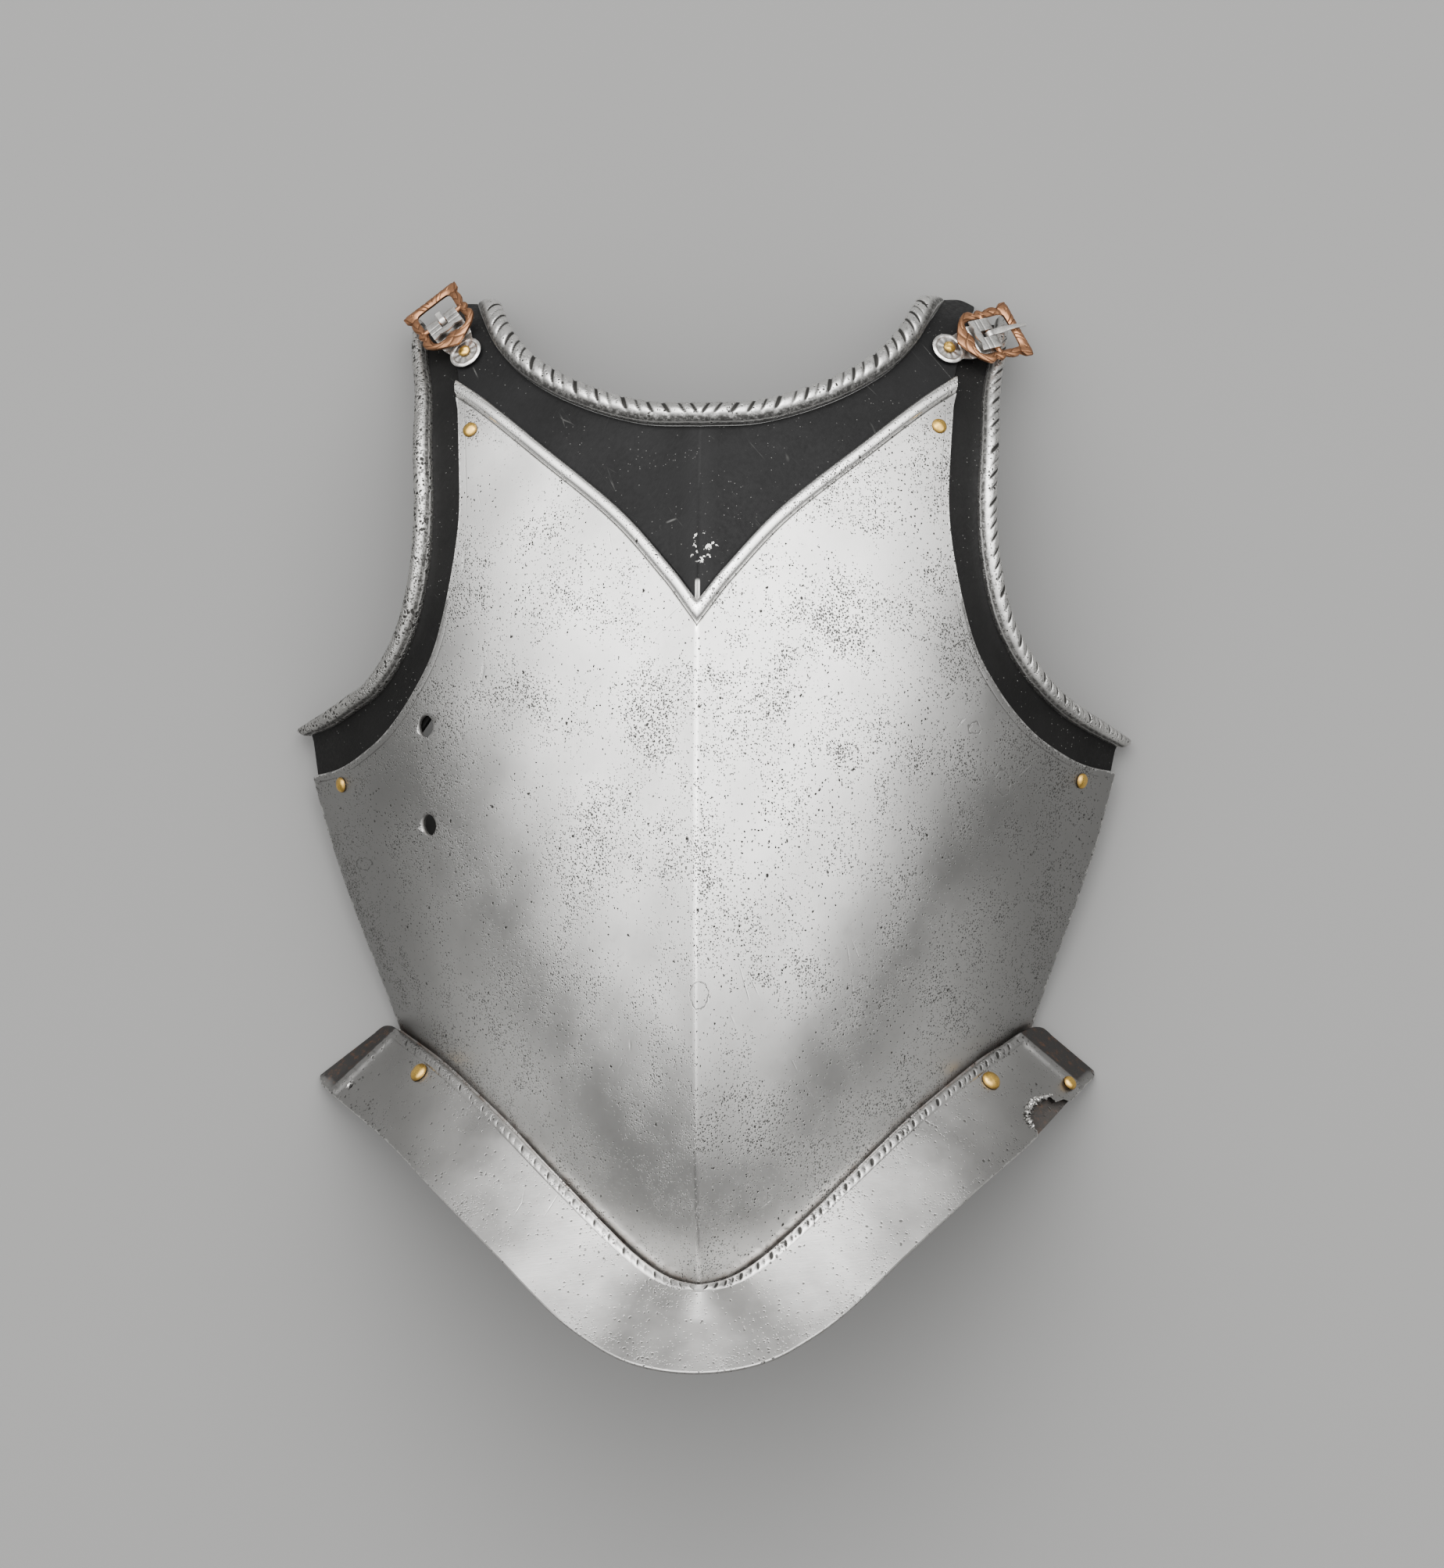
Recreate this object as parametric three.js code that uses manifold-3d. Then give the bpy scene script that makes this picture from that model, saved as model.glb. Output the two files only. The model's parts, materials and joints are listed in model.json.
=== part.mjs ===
// A steel breastplate of the pointed, low-waisted kind, with riveted arm gussets, a flared
// waist plate and two strap buckles. It lies on its back, hollow side down, front upward.
// Millimetres. +X is the wearer's left, +Y is towards the neck, +Z is the front of the chest.
// Names say right and left as the wearer would.

import * as THREE from 'three';
import { mergeVertices } from 'three/addons/utils/BufferGeometryUtils.js';
import Module from 'manifold-3d';

// ---------------------------------------------------------------- driving dimensions
const PLATE = 2.0;            // thickness of the main plate
const GUSSET = 1.6;           // thickness of an arm gusset
const LAME = 1.8;             // thickness of the waist plate
const GAP = 0.3;              // air between pieces that touch
const WAIST_GAP = 0.9;        // air between the waist flange and the waist plate on it
const SECTION_LINEAR = 0.584; // share of the straight flank in a cross section of the chest
const SECTION_POWER = 3.42;   // how late the section turns towards the wearer's side
const PANEL_SINK = 1.6;       // how far the black neck panel lies below the field
const BEAD = {                // raised border of the neck panel: share across, share of height
  width: 5.2, height: 1.5, profile: [[-1, 0], [-0.72, 0.85], [-0.38, 1], [-0.1, 0.6]],
};
const NECK_ROLL = { radius: 4.9, proud: 2.2, sides: 8, fade: 0.06 };
const ARM_ROLL = { radius: 3.6, proud: 1.2, sides: 8 };
const ROLL_START = Math.PI * 0.86;                   // where a roll leaves its plate
const ROLL_SWEEP = -Math.PI * 1.62;                  // and how far round it turns
const GUSSET_TUCK = 12;       // how far a gusset runs under the main plate
const GUSSET_CREASE = 0.6;    // rise of a gusset's crease towards its roll
const FLANGE_REACH = 16;      // turned waist edge that carries the waist plate
const FLANGE_CORNER = 6;      // cut off the flange at its two ends
const FLANGE_SEAM = 1.0;      // clearance from the chest to the waist plate's top edge
const WAIST_ROPE = [[0, 0], [1.2, 0.8], [3.2, 0.8], [4.6, 0]]; // rope bead: mm down, height
const END_RIDGE = { height: 1.0, half: 1.5 };        // cross ridge at each end of the waist plate
const TAB_CORNER = 3.0;       // corners cut off the end tabs
const PATCH = { thick: 1.2, gap: 0.6, from: 0.54, to: 0.985, inner: 104, outer: 123, steps: 5 };
const WAIST_STEPS = 13;
const REST_TILT = 1.42;       // how far it leans back on its shoulders when laid down
const RIVET = { shank: 1.5, clearance: 0.35, tail: 0.9, tailHead: 2.5 };
const LANCE_HOLE_RADIUS = 4.4;

const PLATE_STEPS = { across: 16, field: 15, panel: 5 };
const ROUND = 10;             // sides of a small round piece

// Cross sections of the chest: half width, depth of the medial ridge, depth at the half width.
const SECTIONS = [
  { y: 36, half: 112, ridge: 138, side: -14 },
  { y: 70, half: 118, ridge: 153, side: -12 },
  { y: 100, half: 123, ridge: 160, side: -4 },
  { y: 140, half: 132, ridge: 160, side: 8 },
  { y: 190, half: 152, ridge: 154, side: 12 },
  { y: 246, half: 167, ridge: 145, side: 15 },
  { y: 300, half: 166, ridge: 133, side: 22 },
  { y: 340, half: 163, ridge: 121, side: 28 },
  { y: 375, half: 158, ridge: 105, side: 30 },
  { y: 395, half: 154, ridge: 95, side: 25 },
  { y: 415, half: 151, ridge: 84.5, side: 13 },
  { y: 430, half: 148, ridge: 73.5, side: 0 },
  { y: 442, half: 146, ridge: 54, side: -32 },
];

// Outlines of one half of the main plate, from the middle outward or from the waist upward.
const WAIST_LINE = [[0, 42], [10, 43.5], [19, 48], [31, 57.5], [56, 81], [82, 105.5], [109, 127],
  [131, 139.5]];
const SIDE_EDGE = [[131, 139.5], [137.2, 157], [147.8, 186], [158, 215], [166, 244]];
const ARM_EDGE = [[166, 244], [153, 247], [142, 253], [132, 261], [120, 276], [110, 295], [103, 322],
  [99.5, 348], [100, 375], [102, 405.5]];
const SHOULDER_SEAM = [[102, 405.5], [104.5, 420], [109, 437]];
const PANEL_EDGE = [[0, 313], [9, 325], [31, 349.5], [63, 376], [88, 396], [102, 405.5]];
const NECK_EDGE = [[0, 384], [25, 385.5], [51, 393.5], [72, 405], [84, 417], [92, 431], [96.5, 440]];
const SHOULDER_TOP = [[96.5, 440], [103, 440], [109, 437]];

// The waist plate, station by station: where it leaves the waist line, and its free edge.
const WAIST_PLATE = [
  { x: 0, y: 42, edgeX: 0, edgeY: 7, edgeZ: 170 },
  { x: 10, y: 43.5, edgeX: 24, edgeY: 10.5, edgeZ: 162 },
  { x: 19, y: 48, edgeX: 42, edgeY: 19, edgeZ: 151 },
  { x: 31, y: 57.5, edgeX: 58, edgeY: 30, edgeZ: 141 },
  { x: 56, y: 81, edgeX: 82, edgeY: 52, edgeZ: 121 },
  { x: 82, y: 105.5, edgeX: 108, edgeY: 75, edgeZ: 91 },
  { x: 109, y: 127, edgeX: 132, edgeY: 95, edgeZ: 53 },
];
// Its two ends: the cross ridge where the face stops, and the tab beyond it.
const WAIST_ENDS = {
  right: [
    { x: 128, y: 138, edgeX: 157, edgeY: 111, edgeZ: 14 },
    { x: 134, y: 140.5, edgeX: 165, edgeY: 117, edgeZ: 4 },
  ],
  left: [
    { x: 122, y: 136, edgeX: 149, edgeY: 112, edgeZ: 16 },
    { x: 131, y: 139.5, edgeX: 156, edgeY: 118, edgeZ: 2.8 },
  ],
};

// One arm gusset, from the side of the body up to the shoulder: the main plate's arm edge over it,
// the crease where it turns outward, the outside of its roll, and how deep it lies.
const GUSSET_ROWS = [
  { edgeX: 166, edgeY: 244, creaseX: 168, creaseY: 257, rimX: 173, rimY: 262, under: 2.9 },
  { edgeX: 153, edgeY: 247, creaseX: 156, creaseY: 263, rimX: 159, rimY: 269, under: 2.9 },
  { edgeX: 142, edgeY: 253, creaseX: 145, creaseY: 270, rimX: 149, rimY: 277, under: 2.9 },
  { edgeX: 132, edgeY: 261, creaseX: 136, creaseY: 277, rimX: 141, rimY: 283, under: 2.9 },
  { edgeX: 120, edgeY: 276, creaseX: 126, creaseY: 289, rimX: 132, rimY: 296, under: 2.9 },
  { edgeX: 110, edgeY: 295, creaseX: 118, creaseY: 306, rimX: 126, rimY: 312, under: 2.9 },
  { edgeX: 103, edgeY: 322, creaseX: 113, creaseY: 329, rimX: 121, rimY: 333, under: 2.9 },
  { edgeX: 99.5, edgeY: 348, creaseX: 111.5, creaseY: 352, rimX: 119, rimY: 354, under: 2.9 },
  { edgeX: 100, edgeY: 375, creaseX: 112.5, creaseY: 377, rimX: 118.5, rimY: 378, under: 3.0 },
  { edgeX: 102, edgeY: 400, creaseX: 114, creaseY: 400, rimX: 120.5, rimY: 401, under: 4.5 },
  { edgeX: 104.5, edgeY: 419, creaseX: 117, creaseY: 418, rimX: 124, rimY: 419, under: 4.5 },
  { edgeX: 109, edgeY: 435, creaseX: 118, creaseY: 431, rimX: 124, rimY: 432, under: 4.5 },
];
// How much higher the crease and the roll lie near each armpit, row by row.
const ARMPIT_RISE = { right: [3.8, 1.9, 1.2], left: [-2.8, -2.7, -2.6, -1.2] };
const GUSSET_STEPS = 22;
const NECK_SHARE = 0.9;       // share of the top edge that is neck, the rest is shoulder
const ARMPIT_SHARE = 0.4;     // share of the outer edge that lies below the armpit corner

const FIELD_RIVETS = [        // rivets that hold a gusset, with the thickness that each one grips
  { name: 'shoulder', x: 95, y: 384, grip: 5.6 },
  { name: 'flank', x: 151.5, y: 240.5, grip: 4.9 },
];
const LANCE_HOLES = [{ x: -113, y: 264 }, { x: -112, y: 224 }];
const BUCKLE_RIVET = { x: 98.5, y: 416.5, head: 2.6, height: 1.6, grip: 4.9 };
const WASHER_RIM = 1.2;       // height of a buckle washer's raised rim
const FIELD_HEAD = { head: 3.2, height: 1.8 };
const WAIST_HEAD = { head: 4.1, height: 2.2, grip: LAME + WAIST_GAP + PLATE + GAP };
// Fasteners of the waist plate: width on the waist line, share of the way to the free edge.
const WAIST_RIVET = { right: { x: 112, down: 0.25 }, left: { x: 107, down: 0.25 } };
const PATCH_RIVET = { x: 121, down: 0.84, head: 3.1, height: 1.9, lift: 0.9 };
const END_HOLE = { x: 126, down: 0.8, radius: 1.5 };
// Outline in x and y of the corner that is broken off at the wearer's left end.
const BROKEN_CORNER = [[136, 112.4], [130.5, 108.8], [129, 104.7], [131.8, 100.8], [134, 90], [158, 90],
  [158, 110], [149, 110.6], [142.5, 109.6]];

// A strap buckle in its own plane: x runs from its point to its straight bar, y across.
const BUCKLE = {
  offset: 3.2, thick: 2.4, pivot: 16.5, pivotRadius: 1.15, barLength: 19, hasp: 0.8, washer: 7, lift: 1,
  outline: [[0, 0], [2.6, 5], [5.6, 9.2], [9.6, 12.2], [12.2, 12], [13.8, 11], [16, 12.2], [18.2, 11.2],
    [22.4, 12.2], [26, 11.2], [27.4, 13], [31, 13], [31.2, 0]],
  opening: [[8, 0], [7, 3], [6.8, 5.6], [7.6, 7.5], [9.6, 8.3], [14, 8.3], [20, 8.3], [25.6, 8.3],
    [27.3, 7.2], [27.4, 0]],
};
const HASP = { width: 14.2, upper: 8.2, eye: 5.6, crank: 2.2, knee: 11.2, slot: { length: 7.4, width: 3.3 } };
// How each buckle hangs: "turn" is where it points as seen from the front, anticlockwise from +X.
const BUCKLES = {
  right: { side: -1, turn: 126.5, tongue: { reach: 3.6, width: 2.6 } },
  left: { side: 1, turn: 15.6, tongue: { reach: 17, width: 2.6 } },
};

// ---------------------------------------------------------------- finishes
const finish = (color, roughness, metalness) => (
  new THREE.MeshStandardMaterial({ color, roughness, metalness }));
const POLISHED = () => finish(0xb9b9b6, 0.32, 1.0);
const BLACKED = () => finish(0x3d3e41, 0.6, 0.7);
const BRIGHT = () => finish(0xc9c9c6, 0.35, 1.0);
const BRASS = () => finish(0xd0a64e, 0.3, 1.0);
const COPPER_ALLOY = () => finish(0xb07f52, 0.4, 1.0);

// ---------------------------------------------------------------- curves and the chest surface
const V = (x, y, z) => new THREE.Vector3(x, y, z);

/** Value at q of the smooth curve through (xs, ys), with the chord of its neighbours as each slope. */
function smooth(xs, ys, q) {
  const last = xs.length - 1;
  const slope = (i) => {
    const a = Math.max(0, i - 1);
    const b = Math.min(last, i + 1);
    return (ys[b] - ys[a]) / (xs[b] - xs[a]);
  };
  if (q <= xs[0]) return ys[0] + slope(0) * (q - xs[0]);
  if (q >= xs[last]) return ys[last] + slope(last) * (q - xs[last]);
  let i = 0;
  while (q > xs[i + 1]) i += 1;
  const h = xs[i + 1] - xs[i];
  const t = (q - xs[i]) / h;
  const bend = (1 - t) * (1 - t);
  return (1 + 2 * t) * bend * ys[i] + t * bend * h * slope(i)
    + t * t * (3 - 2 * t) * ys[i + 1] + t * t * (t - 1) * h * slope(i + 1);
}

/** A smooth path through points of any dimension, as a function of its share of length. */
function path(points) {
  const run = [0];
  for (let i = 1; i < points.length; i += 1) {
    const step = Math.hypot(...points[i].map((value, axis) => value - points[i - 1][axis]));
    run.push(run[i - 1] + step);
  }
  const shares = run.map((length) => length / run[run.length - 1]);
  return (t) => points[0].map((_, axis) => smooth(shares, points.map((p) => p[axis]), t));
}

/** Two paths end to end, with the corner between them kept sharp at the share "corner". */
function cornered(first, second, corner) {
  const a = path(first);
  const b = path(second);
  return (t) => (t < corner ? a(t / corner) : b((t - corner) / (1 - corner)));
}

const column = (rows, key) => rows.map((row) => row[key]);
const SECTION_Y = column(SECTIONS, 'y');

/** Depth of the chest's outer face at (x, y). */
function chestDepth(x, y) {
  const half = smooth(SECTION_Y, column(SECTIONS, 'half'), y);
  const ridge = smooth(SECTION_Y, column(SECTIONS, 'ridge'), y);
  const side = smooth(SECTION_Y, column(SECTIONS, 'side'), y);
  const share = Math.abs(x) / half;
  const fall = SECTION_LINEAR * share + (1 - SECTION_LINEAR) * share ** SECTION_POWER;
  return ridge - (ridge - side) * fall;
}

/** Outward direction of the chest's face at (x, y); on the ridge line it points straight ahead. */
function chestNormal(x, y) {
  const h = 0.5;
  const dx = (chestDepth(x + h, y) - chestDepth(x - h, y)) / (2 * h);
  const dy = (chestDepth(x, y + h) - chestDepth(x, y - h)) / (2 * h);
  return V(-dx, -dy, 1).normalize();
}

/** Point that stands "lift" proud of the chest's face. */
function onChest(x, y, lift = 0) {
  return V(x, y, chestDepth(x, y)).addScaledVector(chestNormal(x, y), lift);
}

// ---------------------------------------------------------------- solids
/** Closed geometry from a list of corners and a list of triangles, turned to face outward. */
function closedGeometry(corners, triangles) {
  let volume = 0;
  for (const [a, b, c] of triangles) {
    volume += corners[a].dot(corners[b].clone().cross(corners[c]));
  }
  const index = triangles.flatMap(([a, b, c]) => (volume > 0 ? [a, b, c] : [a, c, b]));
  const geometry = new THREE.BufferGeometry();
  const values = corners.flatMap((p) => [p.x, p.y, p.z]);
  geometry.setAttribute('position', new THREE.Float32BufferAttribute(values, 3));
  geometry.setIndex(index);
  return geometry;
}

/** Solid lofted through closed loops of equal count, on the shorter diagonals, closed rung by rung. */
function loft(loops) {
  const corners = loops.flat();
  const count = loops[0].length;
  const triangles = [];
  for (let j = 0; j + 1 < loops.length; j += 1) {
    for (let i = 0; i < count; i += 1) {
      const k = (i + 1) % count;
      const [a, b, c, d] = [j * count + i, j * count + k, (j + 1) * count + k, (j + 1) * count + i];
      const shorter = corners[a].distanceTo(corners[c]) <= corners[b].distanceTo(corners[d]);
      triangles.push(...(shorter ? [[a, b, c], [a, c, d]] : [[a, b, d], [b, c, d]]));
    }
  }
  const rungs = (base, flip) => {
    for (let i = 0; i < count / 2 - 1; i += 1) {
      const [a, b, c, d] = [i, i + 1, count - 2 - i, count - 1 - i].map((n) => base + n);
      const pair = b === c ? [[a, b, d]] : [[a, b, c], [a, c, d]];
      pair.forEach(([p, q, r]) => triangles.push(flip ? [p, r, q] : [p, q, r]));
    }
  };
  rungs(0, true);
  rungs((loops.length - 1) * count, false);
  return closedGeometry(corners, triangles);
}

/** Arc of a roll round "center", starting at angle "from" and turning by "sweep" (radians). */
function arc(center, out, up, radius, from, sweep, sides) {
  const points = [];
  for (let i = 0; i <= sides; i += 1) {
    const angle = from + (sweep * i) / sides;
    points.push(center.clone()
      .addScaledVector(out, radius * Math.cos(angle))
      .addScaledVector(up, radius * Math.sin(angle)));
  }
  return points;
}

const wasm = await Module();
wasm.setup();

/** The manifold solid of a closed geometry. */
function toSolid(geometry) {
  const bare = geometry.clone();
  ['normal', 'uv'].forEach((name) => bare.deleteAttribute(name));
  const merged = mergeVertices(bare, 1e-5);
  return new wasm.Manifold(new wasm.Mesh({
    numProp: 3,
    vertProperties: new Float32Array(merged.attributes.position.array),
    triVerts: new Uint32Array(merged.index.array),
  }));
}

/** The geometry of a manifold solid. */
function toGeometry(solid) {
  const { vertProperties, triVerts } = solid.getMesh();
  const geometry = new THREE.BufferGeometry();
  geometry.setAttribute('position', new THREE.Float32BufferAttribute(vertProperties, 3));
  geometry.setIndex(Array.from(triVerts));
  return geometry;
}

/** Geometry with every cutter taken away from it. */
function cut(geometry, cutters) {
  const solid = cutters.reduce((rest, cutter) => rest.subtract(toSolid(cutter)), toSolid(geometry));
  return toGeometry(solid);
}

/** Turned piece from a profile of [radius, height] pairs that starts and ends on its axis. */
function turned(profile, sides = ROUND) {
  const points = profile.map(([radius, height]) => new THREE.Vector2(radius, height));
  return new THREE.LatheGeometry(points, sides).rotateX(Math.PI / 2);
}

/** Straight drill along z, long enough to pass through every plate. */
const drill = (radius, sides = ROUND) => turned([[0, -14], [radius, -14], [radius, 8], [0, 8]], sides);

// ---------------------------------------------------------------- placing
/** A named mesh. */
function piece(name, geometry, material) {
  const mesh = new THREE.Mesh(geometry, material);
  mesh.name = name;
  return mesh;
}

/** Stands an object on "at": its z axis along "normal", its x axis as near as may be to "along". */
function stand(target, at, normal, along = V(1, 0, 0)) {
  const side = normal.clone().cross(along).normalize();
  const forward = side.clone().cross(normal).normalize();
  target.quaternion.setFromRotationMatrix(new THREE.Matrix4().makeBasis(forward, side, normal));
  target.position.copy(at);
  return target;
}

/** A drill set up at the same place as a fastener. */
function drillAt(radius, at, normal, sides = ROUND) {
  const tool = stand(new THREE.Mesh(drill(radius, sides)), at, normal);
  tool.updateMatrix();
  return tool.geometry.applyMatrix4(tool.matrix);
}

/** Points mirrored to one side of the body. */
const mirrored = (points, side) => points.map((p) => V(p.x * side, p.y, p.z));

// ---------------------------------------------------------------- the flared waist
/** Root on the waist line, outward run and face direction of the waist plate at width x. */
function waistStation(rows, x) {
  const read = (key, at) => smooth(column(rows, 'x'), column(rows, key), at);
  const rootAt = (at) => onChest(at, read('y', at));
  const root = rootAt(x);
  const edge = V(read('edgeX', x), read('edgeY', x), read('edgeZ', x));
  const run = edge.clone().sub(root).normalize();
  const face = rootAt(x + 0.5).sub(root).cross(run).normalize();
  if (face.z < 0) face.negate();
  return { root, run, face, reach: edge.distanceTo(root) };
}

// The flange under the waist plate is alike on both sides, so it follows the mean of the two ends.
const EVEN_END = WAIST_ENDS.right.map((row, i) => Object.fromEntries(
  Object.keys(row).map((key) => [key, (row[key] + WAIST_ENDS.left[i][key]) / 2])));
const EVEN_WAIST = [...WAIST_PLATE, ...EVEN_END];

// ---------------------------------------------------------------- main plate
/** Point [x, y] inside four edges, by the usual blend of opposite sides. */
function patch(lower, upper, inner, outer, s, t) {
  const [low, high, near, far] = [lower(s), upper(s), inner(t), outer(t)];
  const corners = [lower(0), lower(1), upper(0), upper(1)];
  return [0, 1].map((axis) => (1 - t) * low[axis] + t * high[axis] + (1 - s) * near[axis] + s * far[axis]
    - (1 - s) * (1 - t) * corners[0][axis] - s * (1 - t) * corners[1][axis]
    - (1 - s) * t * corners[2][axis] - s * t * corners[3][axis]);
}

const straight = (a, b) => (t) => a.map((value, axis) => value + (b[axis] - value) * t);
const waistLine = path(WAIST_LINE);
const panelEdge = path(PANEL_EDGE);
const shoulderSeam = path(SHOULDER_SEAM);
const neckLine = cornered(NECK_EDGE, SHOULDER_TOP, NECK_SHARE);
const fieldSide = cornered(SIDE_EDGE, ARM_EDGE, ARMPIT_SHARE);
const lowerRidge = straight(WAIST_LINE[0], PANEL_EDGE[0]);
const upperRidge = straight(PANEL_EDGE[0], NECK_EDGE[0]);
const fieldPoint = (s, t) => patch(waistLine, panelEdge, lowerRidge, fieldSide, s, t);
const panelPoint = (s, t) => patch(panelEdge, neckLine, upperRidge, shoulderSeam, s, t);

/** Rows of one column of the main plate: [x, y, lift of the outer face]. */
function plateRows(s) {
  const rows = [];
  for (let i = 0; i < PLATE_STEPS.field; i += 1) {
    rows.push([...fieldPoint(s, i / PLATE_STEPS.field), 0]);
  }
  const border = panelEdge(s);
  const ahead = panelPoint(s, 0.02);
  const reach = Math.hypot(ahead[0] - border[0], ahead[1] - border[1]);
  const toNeck = [0, 1].map((axis) => (ahead[axis] - border[axis]) / reach);
  for (const [across, height] of BEAD.profile) {
    const step = across * BEAD.width;
    rows.push([border[0] + toNeck[0] * step, border[1] + toNeck[1] * step, height * BEAD.height]);
  }
  for (let i = 0; i <= PLATE_STEPS.panel; i += 1) {
    rows.push([...panelPoint(s, i / PLATE_STEPS.panel), -PANEL_SINK]);
  }
  return rows;
}

/** Evenly spaced points across a plain cut edge, as many as a roll has. */
function flatEnd(a, b, sides) {
  return Array.from({ length: sides + 1 }, (_, i) => a.clone().lerp(b, (i + 1) / (sides + 2)));
}

/** The turned neck edge in column s; it dies out at the end of the neck line. */
function neckRoll(s, top, outerEnd, innerEnd) {
  const fade = Math.min(1, (NECK_SHARE - s) / NECK_ROLL.fade);
  if (fade <= 0) return flatEnd(outerEnd, innerEnd, NECK_ROLL.sides);
  const [here, ahead] = [neckLine(s), neckLine(s + 0.0005)];
  const along = V(ahead[0] - here[0], ahead[1] - here[1], chestDepth(...ahead) - chestDepth(...here));
  const up = chestNormal(top[0], top[1]);
  const out = up.clone().cross(along).normalize();
  const radius = PLATE / 2 + (NECK_ROLL.radius - PLATE / 2) * fade;
  const proud = -PLATE / 2 + (NECK_ROLL.proud + PLATE / 2) * fade;
  const middle = outerEnd.clone().addScaledVector(out, radius * 0.93).addScaledVector(up, proud);
  return arc(middle, out, up, radius, ROLL_START, ROLL_SWEEP, NECK_ROLL.sides);
}

/** Closed section of the main plate in column s: flange, field, bead, panel, neck roll and back. */
function plateSection(s) {
  const rows = plateRows(s);
  const outer = rows.map(([x, y, lift]) => onChest(x, y, lift));
  const inner = rows.map(([x, y, lift]) => onChest(x, y, lift - PLATE));
  const { run, face } = waistStation(EVEN_WAIST, rows[0][0]);
  const mitre = chestNormal(rows[0][0], rows[0][1]).add(face).normalize();
  inner[0] = outer[0].clone().addScaledVector(mitre, -PLATE / mitre.dot(face));
  const flange = s < 1 ? FLANGE_REACH : FLANGE_REACH - FLANGE_CORNER;
  const lip = outer[0].clone().addScaledVector(run, flange);
  const lipBack = lip.clone().addScaledVector(face, -PLATE);
  const roll = neckRoll(s, rows.at(-1), outer.at(-1), inner.at(-1));
  return [lip, ...outer, ...roll, ...inner.reverse(), lipBack];
}

/** The main plate's columns from the wearer's right to the left. */
function plateSolid() {
  const loops = [];
  for (let j = -PLATE_STEPS.across; j <= PLATE_STEPS.across; j += 1) {
    loops.push(mirrored(plateSection(Math.abs(j) / PLATE_STEPS.across), Math.sign(j) || 1));
  }
  return loft(loops);
}

// ---------------------------------------------------------------- arm gussets
/** The smooth run of one gusset's rows. */
function gussetRun(name) {
  return path(GUSSET_ROWS.map((row, i) => {
    const rise = ARMPIT_RISE[name][i] ?? 0;
    return Object.values({ ...row, creaseY: row.creaseY + rise, rimY: row.rimY + rise });
  }));
}

/** Closed section of a gusset: tucked strip, black band, crease, roll and back. */
function gussetSection([edgeX, edgeY, creaseX, creaseY, rimX, rimY, under]) {
  const width = Math.hypot(creaseX - edgeX, creaseY - edgeY);
  const inward = [(edgeX - creaseX) / width, (edgeY - creaseY) / width];
  const tucked = [edgeX + inward[0] * GUSSET_TUCK, edgeY + inward[1] * GUSSET_TUCK];
  const half = [(edgeX + creaseX) / 2, (edgeY + creaseY) / 2];
  const line = [[...tucked, -under], [edgeX, edgeY, -under], [...half, -under],
    [creaseX, creaseY, GUSSET_CREASE - under]];
  const outer = line.map(([x, y, lift]) => onChest(x, y, lift));
  const inner = line.map(([x, y, lift]) => onChest(x, y, lift - GUSSET));
  const up = chestNormal(creaseX, creaseY);
  const out = onChest(rimX, rimY).sub(onChest(creaseX, creaseY));
  out.addScaledVector(up, -out.dot(up)).normalize();
  const middle = outer.at(-1).clone().addScaledVector(out, ARM_ROLL.radius * 0.93)
    .addScaledVector(up, ARM_ROLL.proud);
  const roll = arc(middle, out, up, ARM_ROLL.radius, ROLL_START, ROLL_SWEEP, ARM_ROLL.sides);
  return [...outer, ...roll, ...inner.reverse()];
}

/** One gusset, on the wearer's right (-1) or left (1). */
function gussetSolid(name, side) {
  const run = gussetRun(name);
  const loops = [];
  for (let i = 0; i <= GUSSET_STEPS; i += 1) {
    loops.push(mirrored(gussetSection(run(i / GUSSET_STEPS)), side));
  }
  return loft(loops);
}

// ---------------------------------------------------------------- waist plate
/** Closed section of the waist plate at width x, raised by "lift" and cut back by "trim" at both edges. */
function waistSection(rows, { x, lift = 0, trim = 0 }) {
  const { root, run, face, reach } = waistStation(rows, x);
  const length = reach - FLANGE_SEAM - 2 * trim;
  const profile = [...WAIST_ROPE, [length / 2, 0], [length, 0]];
  const point = (at, height) => root.clone()
    .addScaledVector(run, FLANGE_SEAM + trim + at)
    .addScaledVector(face, WAIST_GAP + lift + height);
  const outer = profile.map(([at, height]) => point(at, LAME + height));
  const inner = profile.map(([at]) => point(at, 0));
  return [...outer, ...inner.reverse()];
}

/** Stations of one half of the waist plate, from the middle out to the rounded end of its tab. */
function waistStations([ridge, tab]) {
  const stations = [];
  for (let i = 0; i <= WAIST_STEPS; i += 1) {
    stations.push({ x: ((ridge.x - END_RIDGE.half) * i) / WAIST_STEPS });
  }
  return [...stations, { x: ridge.x, lift: END_RIDGE.height }, { x: ridge.x + END_RIDGE.half },
    { x: tab.x - TAB_CORNER / 3 }, { x: tab.x, trim: TAB_CORNER }];
}

/** The whole waist plate. */
function waistSolid() {
  const half = (side, end) => waistStations(end)
    .map((station) => mirrored(waistSection([...WAIST_PLATE, ...end], station), side));
  const right = half(-1, WAIST_ENDS.right).reverse();
  const left = half(1, WAIST_ENDS.left).slice(1);
  return loft([...right, ...left]);
}

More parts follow.
